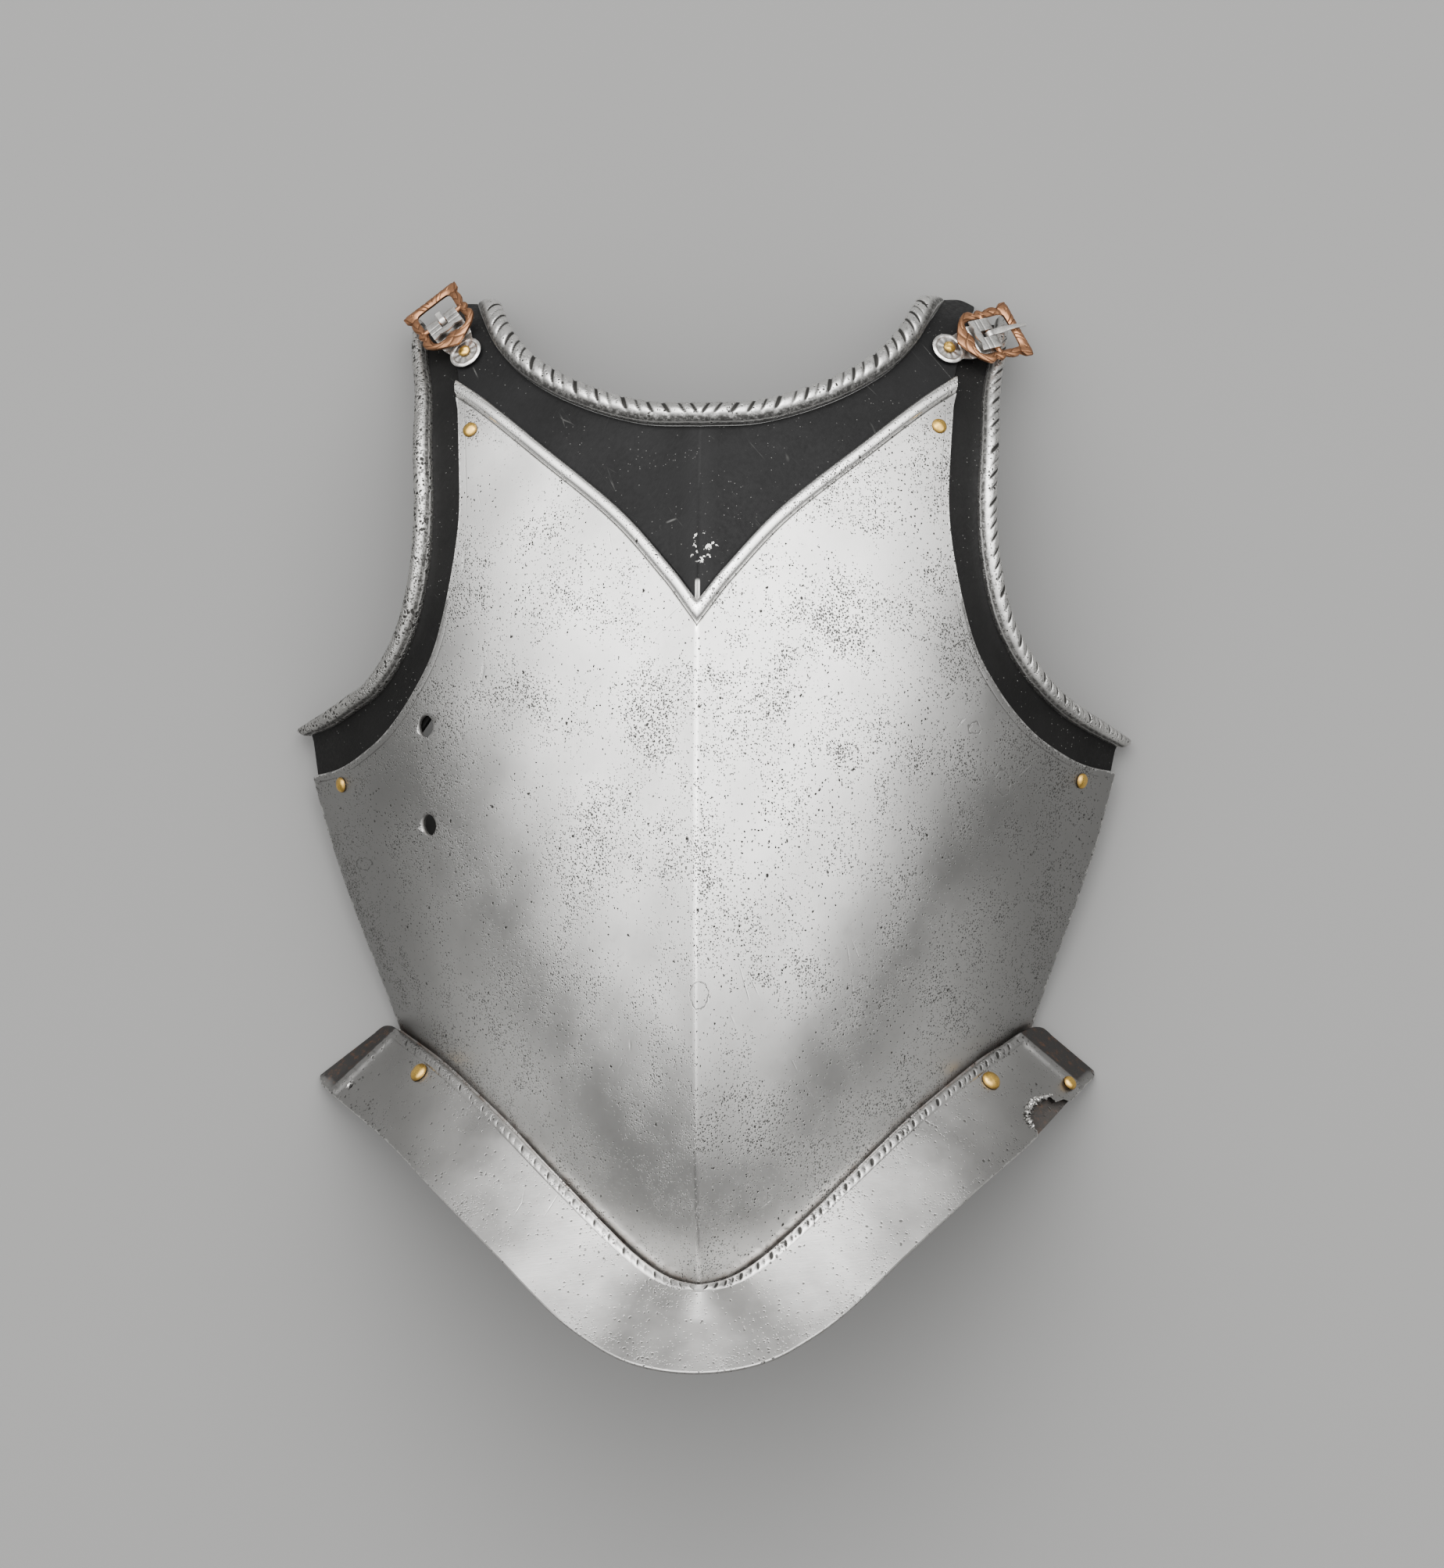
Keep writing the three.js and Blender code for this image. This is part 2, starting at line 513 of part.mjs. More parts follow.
/** Place on the waist plate's face at width x, the share "down" of the way to its free edge. */
function onWaist(side, x, down, lift = 0) {
  const end = side < 0 ? WAIST_ENDS.right : WAIST_ENDS.left;
  const { root, run, face, reach } = waistStation([...WAIST_PLATE, ...end], x);
  const at = root.addScaledVector(run, reach * down).addScaledVector(face, WAIST_GAP + LAME + lift);
  const [mirroredAt, mirroredFace] = mirrored([at, face], side);
  return { at: mirroredAt, normal: mirroredFace };
}

/** Upright prism over an outline in x and y, from below the waist plate to above it. */
function tallPrism(outline, from, to) {
  const shape = new THREE.Shape(outline.map(([x, y]) => new THREE.Vector2(x, y)));
  return new THREE.ExtrudeGeometry(shape, { depth: to - from, bevelEnabled: false }).translate(0, 0, from);
}

/** Repair plate behind the broken corner at the wearer's left end of the waist plate. */
function patchSolid() {
  const loops = [];
  for (let i = 0; i <= PATCH.steps; i += 1) {
    const x = PATCH.inner + ((PATCH.outer - PATCH.inner) * i) / PATCH.steps;
    const { root, run, face, reach } = waistStation([...WAIST_PLATE, ...WAIST_ENDS.left], x);
    const shares = [PATCH.from, (PATCH.from + PATCH.to) / 2, PATCH.to];
    const at = (share, drop) => root.clone().addScaledVector(run, reach * share)
      .addScaledVector(face, WAIST_GAP - PATCH.gap - drop);
    const front = shares.map((share) => at(share, 0));
    const back = shares.reverse().map((share) => at(share, PATCH.thick));
    loops.push([...front, ...back]);
  }
  return loft(loops);
}

// ---------------------------------------------------------------- fasteners
/** A domed rivet standing on z = 0, its shank going down through "grip" mm of plates. */
function rivetShape(head, height, grip) {
  const bottom = -grip - GAP;
  return turned([
    [0, bottom - RIVET.tail], [RIVET.tailHead, bottom - RIVET.tail], [RIVET.tailHead, bottom],
    [RIVET.shank, bottom], [RIVET.shank, GAP], [head, GAP], [head * 0.86, GAP + height * 0.55],
    [head * 0.5, GAP + height * 0.92], [0, GAP + height]]);
}

/** Place on the chest of a fastener at (x, y), by its side of the body. */
function onChestSide(side, x, y, lift = 0) {
  const [at, normal] = mirrored([onChest(x, y, lift), chestNormal(x, y)], side);
  return { at, normal };
}

// ---------------------------------------------------------------- strap buckles
/** Smooth closed outline with mirror halves, anticlockwise, from the points of one half. */
function mirrorShape(half, Kind) {
  const inside = half.filter(([, y]) => y > 0);
  const whole = [...half, ...inside.reverse().map(([x, y]) => [x, -y])];
  const curve = new THREE.CatmullRomCurve3(whole.map(([x, y]) => V(x, y, 0)), true, 'centripetal');
  const points = curve.getSpacedPoints(whole.length * 2).slice(0, -1).reverse();
  return new Kind(points.map((p) => new THREE.Vector2(p.x, p.y)));
}

/** Frame of a buckle, with its pivot bar's middle at the origin. */
function frameShape() {
  const shape = mirrorShape(BUCKLE.outline, THREE.Shape);
  shape.holes.push(mirrorShape(BUCKLE.opening, THREE.Path));
  const plate = new THREE.ExtrudeGeometry(shape, { depth: BUCKLE.thick, bevelEnabled: false });
  plate.translate(-BUCKLE.pivot, 0, -BUCKLE.thick / 2);
  const bar = new THREE.CylinderGeometry(BUCKLE.pivotRadius, BUCKLE.pivotRadius, BUCKLE.barLength, ROUND);
  return toGeometry(toSolid(plate).add(toSolid(bar)));
}

/** Circle as a list of [x, z] from one angle to another. */
function bend(radius, from, to, sides = 10) {
  return Array.from({ length: sides + 1 }, (_, i) => {
    const angle = from + ((to - from) * i) / sides;
    return [radius * Math.cos(angle), radius * Math.sin(angle)];
  });
}

/** Prism of a side view [x, z], "width" across. */
function crossPrism(outline, width, hole = null) {
  const shape = new THREE.Shape(outline.map(([x, z]) => new THREE.Vector2(x, z)));
  if (hole) shape.holes.push(new THREE.Path(hole.map(([x, z]) => new THREE.Vector2(x, z))));
  const prism = new THREE.ExtrudeGeometry(shape, { depth: width, bevelEnabled: false });
  return prism.rotateX(Math.PI / 2).translate(0, width / 2, 0);
}

/** Hasp: a strip folded round the pivot bar, with a round end under the rivet. Origin at the bar. */
function haspShape() {
  const inner = BUCKLE.pivotRadius + GAP;
  const outer = inner + BUCKLE.hasp;
  const rivetX = -(BUCKLE.pivot + BUCKLE.offset);
  const fold = [[-HASP.upper, outer], ...bend(outer, Math.PI / 2, -Math.PI / 2), [-2, -outer],
    [-2, -inner], ...bend(inner, -Math.PI / 2, Math.PI / 2), [-HASP.upper, inner]];
  const leaf = new THREE.Shape();
  leaf.moveTo(0, HASP.width / 2);
  leaf.lineTo(-HASP.upper, HASP.width / 2);
  leaf.absarc(rivetX, 0, HASP.eye, Math.PI / 2, (3 * Math.PI) / 2, false);
  leaf.lineTo(-HASP.upper, -HASP.width / 2);
  leaf.lineTo(0, -HASP.width / 2);
  const plan = new THREE.ExtrudeGeometry(leaf, { depth: 20, bevelEnabled: false, curveSegments: 8 });
  plan.translate(0, 0, -10);
  const end = rivetX - HASP.eye - 1;
  const side = [[0, -outer], [0, -inner], [-HASP.upper + 1, -inner], [-HASP.knee, -inner - HASP.crank],
    [end, -inner - HASP.crank], [end, -outer - HASP.crank], [-HASP.knee, -outer - HASP.crank],
    [-HASP.upper + 1, -outer]];
  const strip = toSolid(crossPrism(side, HASP.width + 2)).intersect(toSolid(plan));
  const slot = new THREE.BoxGeometry(HASP.slot.length, HASP.slot.width, 4 * outer);
  slot.translate(outer + 0.1 - HASP.slot.length / 2, 0, 0);
  const eyeRadius = RIVET.shank + RIVET.clearance;
  const eye = new THREE.CylinderGeometry(eyeRadius, eyeRadius, 20, ROUND);
  eye.rotateX(Math.PI / 2).translate(rivetX, 0, 0);
  return toGeometry(toSolid(crossPrism(fold, HASP.width)).add(strip)
    .subtract(toSolid(slot)).subtract(toSolid(eye)));
}

/** Tongue: an eye round the pivot bar and a tapering blade. Origin at the bar. */
function tongueShape(reach, width) {
  const inner = BUCKLE.pivotRadius + GAP;
  const outer = inner + BUCKLE.hasp;
  const rest = BUCKLE.thick / 2 + GAP + 0.15;
  const outline = [...bend(outer, Math.PI * 0.42, Math.PI * 1.9, 12), [outer + 0.6, rest - 0.4],
    [reach, rest], [reach, rest + 1.1], [outer + 0.4, outer + 0.1]];
  return crossPrism(outline, width, bend(inner, 0, 2 * Math.PI, 12).slice(0, -1));
}

/** Washer under a buckle's rivet. */
function washerShape() {
  const hole = RIVET.shank + RIVET.clearance;
  return turned([[hole, 0], [BUCKLE.washer, 0], [BUCKLE.washer, 0.7], [BUCKLE.washer - 1.2, WASHER_RIM],
    [hole + 0.6, 0.8], [hole, 0.8], [hole, 0]], 18);
}

/** One buckle as a group that stands on the shoulder, its x axis towards the straight bar. */
function buckleGroup(name, { side, turn, tongue }) {
  const { at, normal } = onChestSide(side, BUCKLE_RIVET.x, BUCKLE_RIVET.y, -PANEL_SINK);
  const angle = THREE.MathUtils.degToRad(turn);
  const along = V(Math.cos(angle), Math.sin(angle), 0);
  along.z = -along.dot(normal) / normal.z;
  const group = stand(new THREE.Group(), at, normal, along);
  const outer = BUCKLE.pivotRadius + GAP + BUCKLE.hasp;
  const washerHeight = 2 * GAP + BUCKLE.hasp;
  const washer = piece(`buckle_washer_${name}`, washerShape(), BRIGHT());
  washer.position.z = washerHeight;
  const seat = washerHeight + WASHER_RIM;
  const { head, height, grip } = BUCKLE_RIVET;
  const rivetBody = rivetShape(head, height, grip + seat).translate(0, 0, seat);
  const rivet = piece(`buckle_rivet_${name}`, rivetBody, BRASS());
  const hinge = new THREE.Group();
  hinge.position.set(BUCKLE.offset + BUCKLE.pivot, 0, outer + GAP + HASP.crank);
  const hasp = piece(`buckle_hasp_${name}`, haspShape(), BRIGHT());
  const tilted = new THREE.Group();
  tilted.rotation.y = THREE.MathUtils.degToRad(BUCKLE.lift);
  const frame = piece(`buckle_frame_${name}`, frameShape(), COPPER_ALLOY());
  const blade = piece(`buckle_tongue_${name}`, tongueShape(tongue.reach, tongue.width), BRIGHT());
  tilted.add(frame, blade);
  hinge.add(hasp, tilted);
  group.add(washer, rivet, hinge);
  return group;
}

// ---------------------------------------------------------------- assembly
const worn = new THREE.Group();
const sides = [['right', -1], ['left', 1]];
const platedRivets = [];
for (const [name, side] of sides) {
  for (const spot of FIELD_RIVETS) {
    const place = onChestSide(side, spot.x, spot.y);
    const { grip } = spot;
    platedRivets.push({ name: `gusset_rivet_${spot.name}_${name}`, grip, ...FIELD_HEAD, ...place });
  }
  const waistPlace = onWaist(side, WAIST_RIVET[name].x, WAIST_RIVET[name].down);
  platedRivets.push({ name: `waist_rivet_${name}`, ...WAIST_HEAD, ...waistPlace });
}
const patchPlace = onWaist(1, PATCH_RIVET.x, PATCH_RIVET.down, PATCH_RIVET.lift);
const patchGrip = LAME + PATCH.gap + PATCH.thick + PATCH_RIVET.lift + GAP / 2;
platedRivets.push({ name: 'patch_rivet', ...PATCH_RIVET, grip: patchGrip, ...patchPlace });
const bucklePlaces = sides.map(([, side]) => onChestSide(side, BUCKLE_RIVET.x, BUCKLE_RIVET.y, -PANEL_SINK));
const shankRadius = RIVET.shank + RIVET.clearance;
const shanks = [...platedRivets, ...bucklePlaces].map(({ at, normal }) => drillAt(shankRadius, at, normal));
const lanceHoles = LANCE_HOLES.map(({ x, y }) => {
  const { at, normal } = onChestSide(Math.sign(x), Math.abs(x), y);
  return drillAt(LANCE_HOLE_RADIUS, at, normal, 20);
});

worn.add(piece('main_plate', cut(plateSolid(), [...shanks, ...lanceHoles]), POLISHED()));
for (const [name, side] of sides) {
  worn.add(piece(`arm_gusset_${name}`, cut(gussetSolid(name, side), shanks), BLACKED()));
}
const endHole = onWaist(-1, END_HOLE.x, END_HOLE.down);
const endDrill = drillAt(END_HOLE.radius, endHole.at, endHole.normal);
const brokenCorner = tallPrism(BROKEN_CORNER, 0, 80);
worn.add(piece('waist_plate', cut(waistSolid(), [...shanks, endDrill, brokenCorner]), POLISHED()));
worn.add(piece('waist_patch', cut(patchSolid(), shanks), BLACKED()));
for (const { name, head, height, grip, at, normal } of platedRivets) {
  worn.add(stand(piece(name, rivetShape(head, height, grip), BRASS()), at, normal));
}
for (const [name, settings] of Object.entries(BUCKLES)) {
  worn.add(buckleGroup(name, settings));
}

/** Lays the worn group on its back on z = 0 with the middle of its box at x = y = 0. */
function laidDown(group) {
  group.rotation.x = THREE.MathUtils.degToRad(-REST_TILT);
  const object = new THREE.Group();
  object.add(group);
  const box = new THREE.Box3().setFromObject(object, true);
  const middle = box.getCenter(new THREE.Vector3());
  group.position.set(-middle.x, -middle.y, -box.min.z);
  return object;
}

export default laidDown(worn);
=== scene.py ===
import json
import logging
import math
from collections.abc import Callable, Sequence
from dataclasses import dataclass, field, fields
from enum import Enum
from typing import NamedTuple

import bmesh
import bpy
import numpy as np
from mathutils import Matrix, Vector


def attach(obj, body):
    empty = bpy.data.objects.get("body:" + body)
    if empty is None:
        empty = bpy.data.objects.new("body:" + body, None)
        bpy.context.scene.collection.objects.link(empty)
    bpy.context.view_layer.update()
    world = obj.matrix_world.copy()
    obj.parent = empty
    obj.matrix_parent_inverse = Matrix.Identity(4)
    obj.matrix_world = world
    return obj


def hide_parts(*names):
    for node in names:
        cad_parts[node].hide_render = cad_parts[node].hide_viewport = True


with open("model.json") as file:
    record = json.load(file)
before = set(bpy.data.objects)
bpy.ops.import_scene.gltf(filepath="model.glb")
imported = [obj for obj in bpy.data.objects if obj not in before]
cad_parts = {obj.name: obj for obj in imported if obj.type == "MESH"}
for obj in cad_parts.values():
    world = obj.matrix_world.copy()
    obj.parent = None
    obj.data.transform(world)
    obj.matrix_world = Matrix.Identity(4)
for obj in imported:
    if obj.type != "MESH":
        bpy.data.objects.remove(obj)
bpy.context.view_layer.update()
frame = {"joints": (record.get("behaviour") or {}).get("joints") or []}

log = logging.getLogger("breastplate")

# Lengths are millimetres in the wearer's upright frame: x to the wearer's left, y up, z forward.
# LAY takes them to metres in the frame in which the breastplate lies on its back.

PLATE = 2.0
GUSSET = 1.6
LAME = 1.8
GAP = 0.3
WAIST_GAP = 0.9
PANEL_SINK = 1.6
FLANGE_REACH = 16.0
FLANGE_SEAM = 1.0
GUSSET_TUCK = 12.0
REST_TILT_DEG = 1.42
LANCE_HOLE_RADIUS = 4.4
LANCE_HOLES = ((113, 264), (112, 224))
NECK_SHARE = 0.9
ARMPIT_SHARE = 0.4
BUCKLE_AT = (98.5, 416.5)


class Side(Enum):
    """Side of the wearer's body."""

    RIGHT = -1
    LEFT = 1

    @property
    def label(self) -> str:
        """Word for the side in piece names."""
        return self.name.lower()


class Section(NamedTuple):
    """Cross section of the chest: height, half width, depth of the ridge, depth at the side."""

    y: float
    half: float
    ridge: float
    side: float


class WaistRow(NamedTuple):
    """Station of the waist plate: its root on the waist line and its free edge."""

    x: float
    y: float
    edge_x: float
    edge_y: float
    edge_z: float


class GussetRow(NamedTuple):
    """Station of an arm gusset: plate edge, crease, outside of its roll, depth under the plate."""

    edge_x: float
    edge_y: float
    crease_x: float
    crease_y: float
    rim_x: float
    rim_y: float
    under: float


SECTIONS = (
    Section(36, 112, 138, -14),
    Section(70, 118, 153, -12),
    Section(100, 123, 160, -4),
    Section(140, 132, 160, 8),
    Section(190, 152, 154, 12),
    Section(246, 167, 145, 15),
    Section(300, 166, 133, 22),
    Section(340, 163, 121, 28),
    Section(375, 158, 105, 30),
    Section(395, 154, 95, 25),
    Section(415, 151, 84.5, 13),
    Section(430, 148, 73.5, 0),
    Section(442, 146, 54, -32),
)

WAIST_LINE = ((0, 42), (10, 43.5), (19, 48), (31, 57.5), (56, 81), (82, 105.5), (109, 127), (131, 139.5))
SIDE_EDGE = ((131, 139.5), (137.2, 157), (147.8, 186), (158, 215), (166, 244))
ARM_EDGE = (
    (166, 244), (153, 247), (142, 253), (132, 261), (120, 276),
    (110, 295), (103, 322), (99.5, 348), (100, 375), (102, 405.5),
)
SHOULDER_SEAM = ((102, 405.5), (104.5, 420), (109, 437))
PANEL_EDGE = ((0, 313), (9, 325), (31, 349.5), (63, 376), (88, 396), (102, 405.5))
NECK_EDGE = ((0, 384), (25, 385.5), (51, 393.5), (72, 405), (84, 417), (92, 431), (96.5, 440))
SHOULDER_TOP = ((96.5, 440), (103, 440), (109, 437))

WAIST_ROWS = (
    WaistRow(0, 42, 0, 7, 170),
    WaistRow(10, 43.5, 24, 10.5, 162),
    WaistRow(19, 48, 42, 19, 151),
    WaistRow(31, 57.5, 58, 30, 141),
    WaistRow(56, 81, 82, 52, 121),
    WaistRow(82, 105.5, 108, 75, 91),
    WaistRow(109, 127, 132, 95, 53),
)
WAIST_ENDS = {
    Side.RIGHT: (WaistRow(128, 138, 157, 111, 14), WaistRow(134, 140.5, 165, 117, 4)),
    Side.LEFT: (WaistRow(122, 136, 149, 112, 16), WaistRow(131, 139.5, 156, 118, 2.8)),
}

GUSSET_ROWS = (
    GussetRow(166, 244, 168, 257, 173, 262, 2.9),
    GussetRow(153, 247, 156, 263, 159, 269, 2.9),
    GussetRow(142, 253, 145, 270, 149, 277, 2.9),
    GussetRow(132, 261, 136, 277, 141, 283, 2.9),
    GussetRow(120, 276, 126, 289, 132, 296, 2.9),
    GussetRow(110, 295, 118, 306, 126, 312, 2.9),
    GussetRow(103, 322, 113, 329, 121, 333, 2.9),
    GussetRow(99.5, 348, 111.5, 352, 119, 354, 2.9),
    GussetRow(100, 375, 112.5, 377, 118.5, 378, 3.0),
    GussetRow(102, 400, 114, 400, 120.5, 401, 4.5),
    GussetRow(104.5, 419, 117, 418, 124, 419, 4.5),
    GussetRow(109, 435, 118, 431, 124, 432, 4.5),
)
# How much higher the crease and the roll lie near each armpit, row by row.
ARMPIT_RISE = {Side.RIGHT: (3.8, 1.9, 1.2), Side.LEFT: (-2.8, -2.7, -2.6, -1.2)}


# ---------------------------------------------------------------- curves and surfaces
def smooth(xs: np.ndarray, ys: np.ndarray, at: np.ndarray) -> np.ndarray:
    """Reads the smooth curve through known points, with straight ends.

    Args:
        xs: Rising places of the known points.
        ys: Values at those places.
        at: Places to read.

    Returns:
        The values at "at".
    """
    slope = np.empty(len(ys))
    slope[1:-1] = (ys[2:] - ys[:-2]) / (xs[2:] - xs[:-2])
    slope[0] = (ys[1] - ys[0]) / (xs[1] - xs[0])
    slope[-1] = (ys[-1] - ys[-2]) / (xs[-1] - xs[-2])
    i = np.clip(np.searchsorted(xs, at, side="right") - 1, 0, len(xs) - 2)
    step = xs[i + 1] - xs[i]
    t = (at - xs[i]) / step
    left = (1 - t) ** 2
    value = (1 + 2 * t) * left * ys[i] + t * left * step * slope[i]
    value += t**2 * (3 - 2 * t) * ys[i + 1] + t**2 * (t - 1) * step * slope[i + 1]
    value = np.where(at <= xs[0], ys[0] + slope[0] * (at - xs[0]), value)
    return np.where(at >= xs[-1], ys[-1] + slope[-1] * (at - xs[-1]), value)


def unit(vectors: np.ndarray) -> np.ndarray:
    """Vectors of length one in the same directions."""
    return vectors / np.linalg.norm(vectors, axis=-1, keepdims=True)


def bump(distance: np.ndarray, width: float) -> np.ndarray:
    """Round bump of height one and half width "width" at distance zero."""
    return np.exp(-((distance / width) ** 2))


class Path:
    """Smooth path through points of any dimension, read by its share of length."""

    def __init__(self, points: Sequence[Sequence[float]]) -> None:
        """Keeps the points and the share of length at each."""
        self.points = np.array(points, float)
        run = np.concatenate([[0.0], np.cumsum(np.linalg.norm(np.diff(self.points, axis=0), axis=1))])
        self.length = run[-1]
        self.shares = run / run[-1]

    def __call__(self, t: np.ndarray) -> np.ndarray:
        """Points at the shares t, with one more axis than t."""
        t = np.asarray(t, float)
        return np.stack([smooth(self.shares, self.points[:, k], t) for k in range(self.points.shape[1])], -1)


class CorneredPath:
    """Two paths end to end, with the corner between them kept sharp."""

    def __init__(self, first: Sequence, second: Sequence, corner: float) -> None:
        """Keeps both paths.

        Args:
            first: Points up to the corner.
            second: Points from the corner on.
            corner: Share at which the corner lies.
        """
        self.first = Path(first)
        self.second = Path(second)
        self.corner = corner

    def __call__(self, t: np.ndarray) -> np.ndarray:
        """Points at the shares t."""
        t = np.asarray(t, float)
        before = self.first(np.minimum(t / self.corner, 1))
        after = self.second(np.maximum((t - self.corner) / (1 - self.corner), 0))
        return np.where((t < self.corner)[..., None], before, after)


class Chest:
    """Outer face of the main plate as a depth over x and y."""

    LINEAR = 0.584
    POWER = 3.42
    STEP = 0.5

    def __init__(self) -> None:
        """Keeps the sections as columns."""
        rows = np.array(SECTIONS, float)
        self.y, self.half, self.ridge, self.side = rows.T

    def depth(self, x: np.ndarray, y: np.ndarray) -> np.ndarray:
        """Depth of the face at (x, y)."""
        share = np.abs(x) / smooth(self.y, self.half, y)
        ridge = smooth(self.y, self.ridge, y)
        fall = self.LINEAR * share + (1 - self.LINEAR) * share**self.POWER
        return ridge - (ridge - smooth(self.y, self.side, y)) * fall

    def normal(self, x: np.ndarray, y: np.ndarray) -> np.ndarray:
        """Outward direction of the face; on the ridge line it points straight ahead."""
        h = self.STEP
        dx = (self.depth(x + h, y) - self.depth(x - h, y)) / (2 * h)
        dy = (self.depth(x, y + h) - self.depth(x, y - h)) / (2 * h)
        return unit(np.stack([-dx, -dy, np.ones_like(dx)], -1))

    def point(self, x: np.ndarray, y: np.ndarray, lift: np.ndarray | float = 0.0) -> np.ndarray:
        """Points that stand "lift" proud of the face."""
        x, y, lift = np.broadcast_arrays(np.asarray(x, float), np.asarray(y, float), lift)
        return np.stack([x, y, self.depth(x, y)], -1) + self.normal(x, y) * lift[..., None]


CHEST = Chest()


class Waist:
    """Shape of the flared waist for one pair of end stations."""

    def __init__(self, ends: Sequence[WaistRow]) -> None:
        """Keeps the stations as columns, with the two ends at the cross ridge and at the tab."""
        self.columns = np.array([*WAIST_ROWS, *ends], float).T

    def _read(self, column: int, x: np.ndarray) -> np.ndarray:
        """One column of the stations at width x."""
        return smooth(self.columns[0], self.columns[column], x)

    def _root(self, x: np.ndarray) -> np.ndarray:
        """Points of the waist line at width x."""
        return CHEST.point(x, self._read(1, x))

    def station(self, x: np.ndarray) -> tuple[np.ndarray, np.ndarray, np.ndarray, np.ndarray]:
        """Reads the flare at widths x.

        Args:
            x: Widths on the waist line, from the middle outward.

        Returns:
            Roots, outward runs, face directions, and the reach to the free edge.
        """
        root = self._root(x)
        edge = np.stack([self._read(k, x) for k in (2, 3, 4)], -1)
        run = unit(edge - root)
        face = unit(np.cross(self._root(x + 0.5) - root, run))
        face = np.where(face[..., 2:] < 0, -face, face)
        return root, run, face, np.linalg.norm(edge - root, axis=-1)


EVEN_ENDS = tuple(WaistRow(*np.mean(pair, axis=0)) for pair in zip(*WAIST_ENDS.values()))


class Lay:
    """Lays points from the wearer's upright frame on their back in the part's own frame."""

    def __init__(self, joint: str, anchor: np.ndarray) -> None:
        """Works out the place from one joint that is known in both frames.

        Args:
            joint: Name of the joint.
            anchor: The joint's point in the wearer's frame.
        """
        tilt = math.radians(-REST_TILT_DEG)
        self.turn = np.array([
            [1, 0, 0],
            [0, math.cos(tilt), -math.sin(tilt)],
            [0, math.sin(tilt), math.cos(tilt)],
        ])
        place = next(row["pos_m"] for row in frame["joints"] if row["name"] == joint)
        self.move = np.array(place) * 1000 - self.turn @ anchor

    def __call__(self, points: np.ndarray) -> np.ndarray:
        """Points in metres in the part's own frame."""
        return (points @ self.turn.T + self.move) / 1000

    def direction(self, vectors: np.ndarray) -> np.ndarray:
        """Directions in the part's own frame."""
        return vectors @ self.turn.T


def mirrored(points: np.ndarray, side: Side) -> np.ndarray:
    """Points of one half on the given side of the body."""
    return points * np.array([side.value, 1, 1])


LAY = Lay("right_hasp_swivel", mirrored(CHEST.point(*BUCKLE_AT, -PANEL_SINK), Side.RIGHT))


# ---------------------------------------------------------------- meshes
@dataclass
class Skin:
    """Grid of points that becomes a mesh.

    Attributes:
        points: Loops of points in millimetres, upright, shaped (loops, count, 3).
        marks: Values carried by the points, each shaped (loops, count).
        slots: Finish number of each face, shaped (loops - 1, count), or None for one finish.
        ring: True if each loop closes on itself.
        wheel: True if the last loop joins the first.
        rungs: True if the end loops are closed by rungs between their two halves.
    """

    points: np.ndarray
    marks: dict[str, np.ndarray] = field(default_factory=dict)
    slots: np.ndarray | None = None
    ring: bool = True
    wheel: bool = False
    rungs: bool = False

    def faces(self) -> tuple[np.ndarray, np.ndarray]:
        """Corner numbers and finish number of every quad.

        Returns:
            Quads shaped (n, 4), and their finish numbers.
        """
        loops, count = self.points.shape[:2]
        j = np.arange(loops if self.wheel else loops - 1)
        i = np.arange(count if self.ring else count - 1)
        jj, ii = (grid.ravel() for grid in np.meshgrid(j, i, indexing="ij"))
        next_j, next_i = (jj + 1) % loops, (ii + 1) % count
        here, ahead = jj * count, next_j * count
        quads = np.stack([here + ii, here + next_i, ahead + next_i, ahead + ii], 1)
        numbers = np.zeros(len(quads), int) if self.slots is None else self.slots[jj, ii]
        if not self.rungs:
            return quads, numbers
        k = np.arange(count // 2 - 1)
        end = np.stack([k, k + 1, count - 2 - k, count - 1 - k], 1)
        start = end[:, ::-1]
        last = end + (loops - 1) * count
        edge = np.zeros(len(k), int) if self.slots is None else self.slots[0, k]
        return np.concatenate([quads, start, last]), np.concatenate([numbers, edge, edge])


def outward(mesh: bpy.types.Mesh) -> None:
    """Turns the faces of a mesh to point outward, and joins points that meet."""
    work = bmesh.new()
    work.from_mesh(mesh)
    bmesh.ops.remove_doubles(work, verts=work.verts, dist=1e-6)
    bmesh.ops.recalc_face_normals(work, faces=work.faces)
    work.to_mesh(mesh)
    work.free()


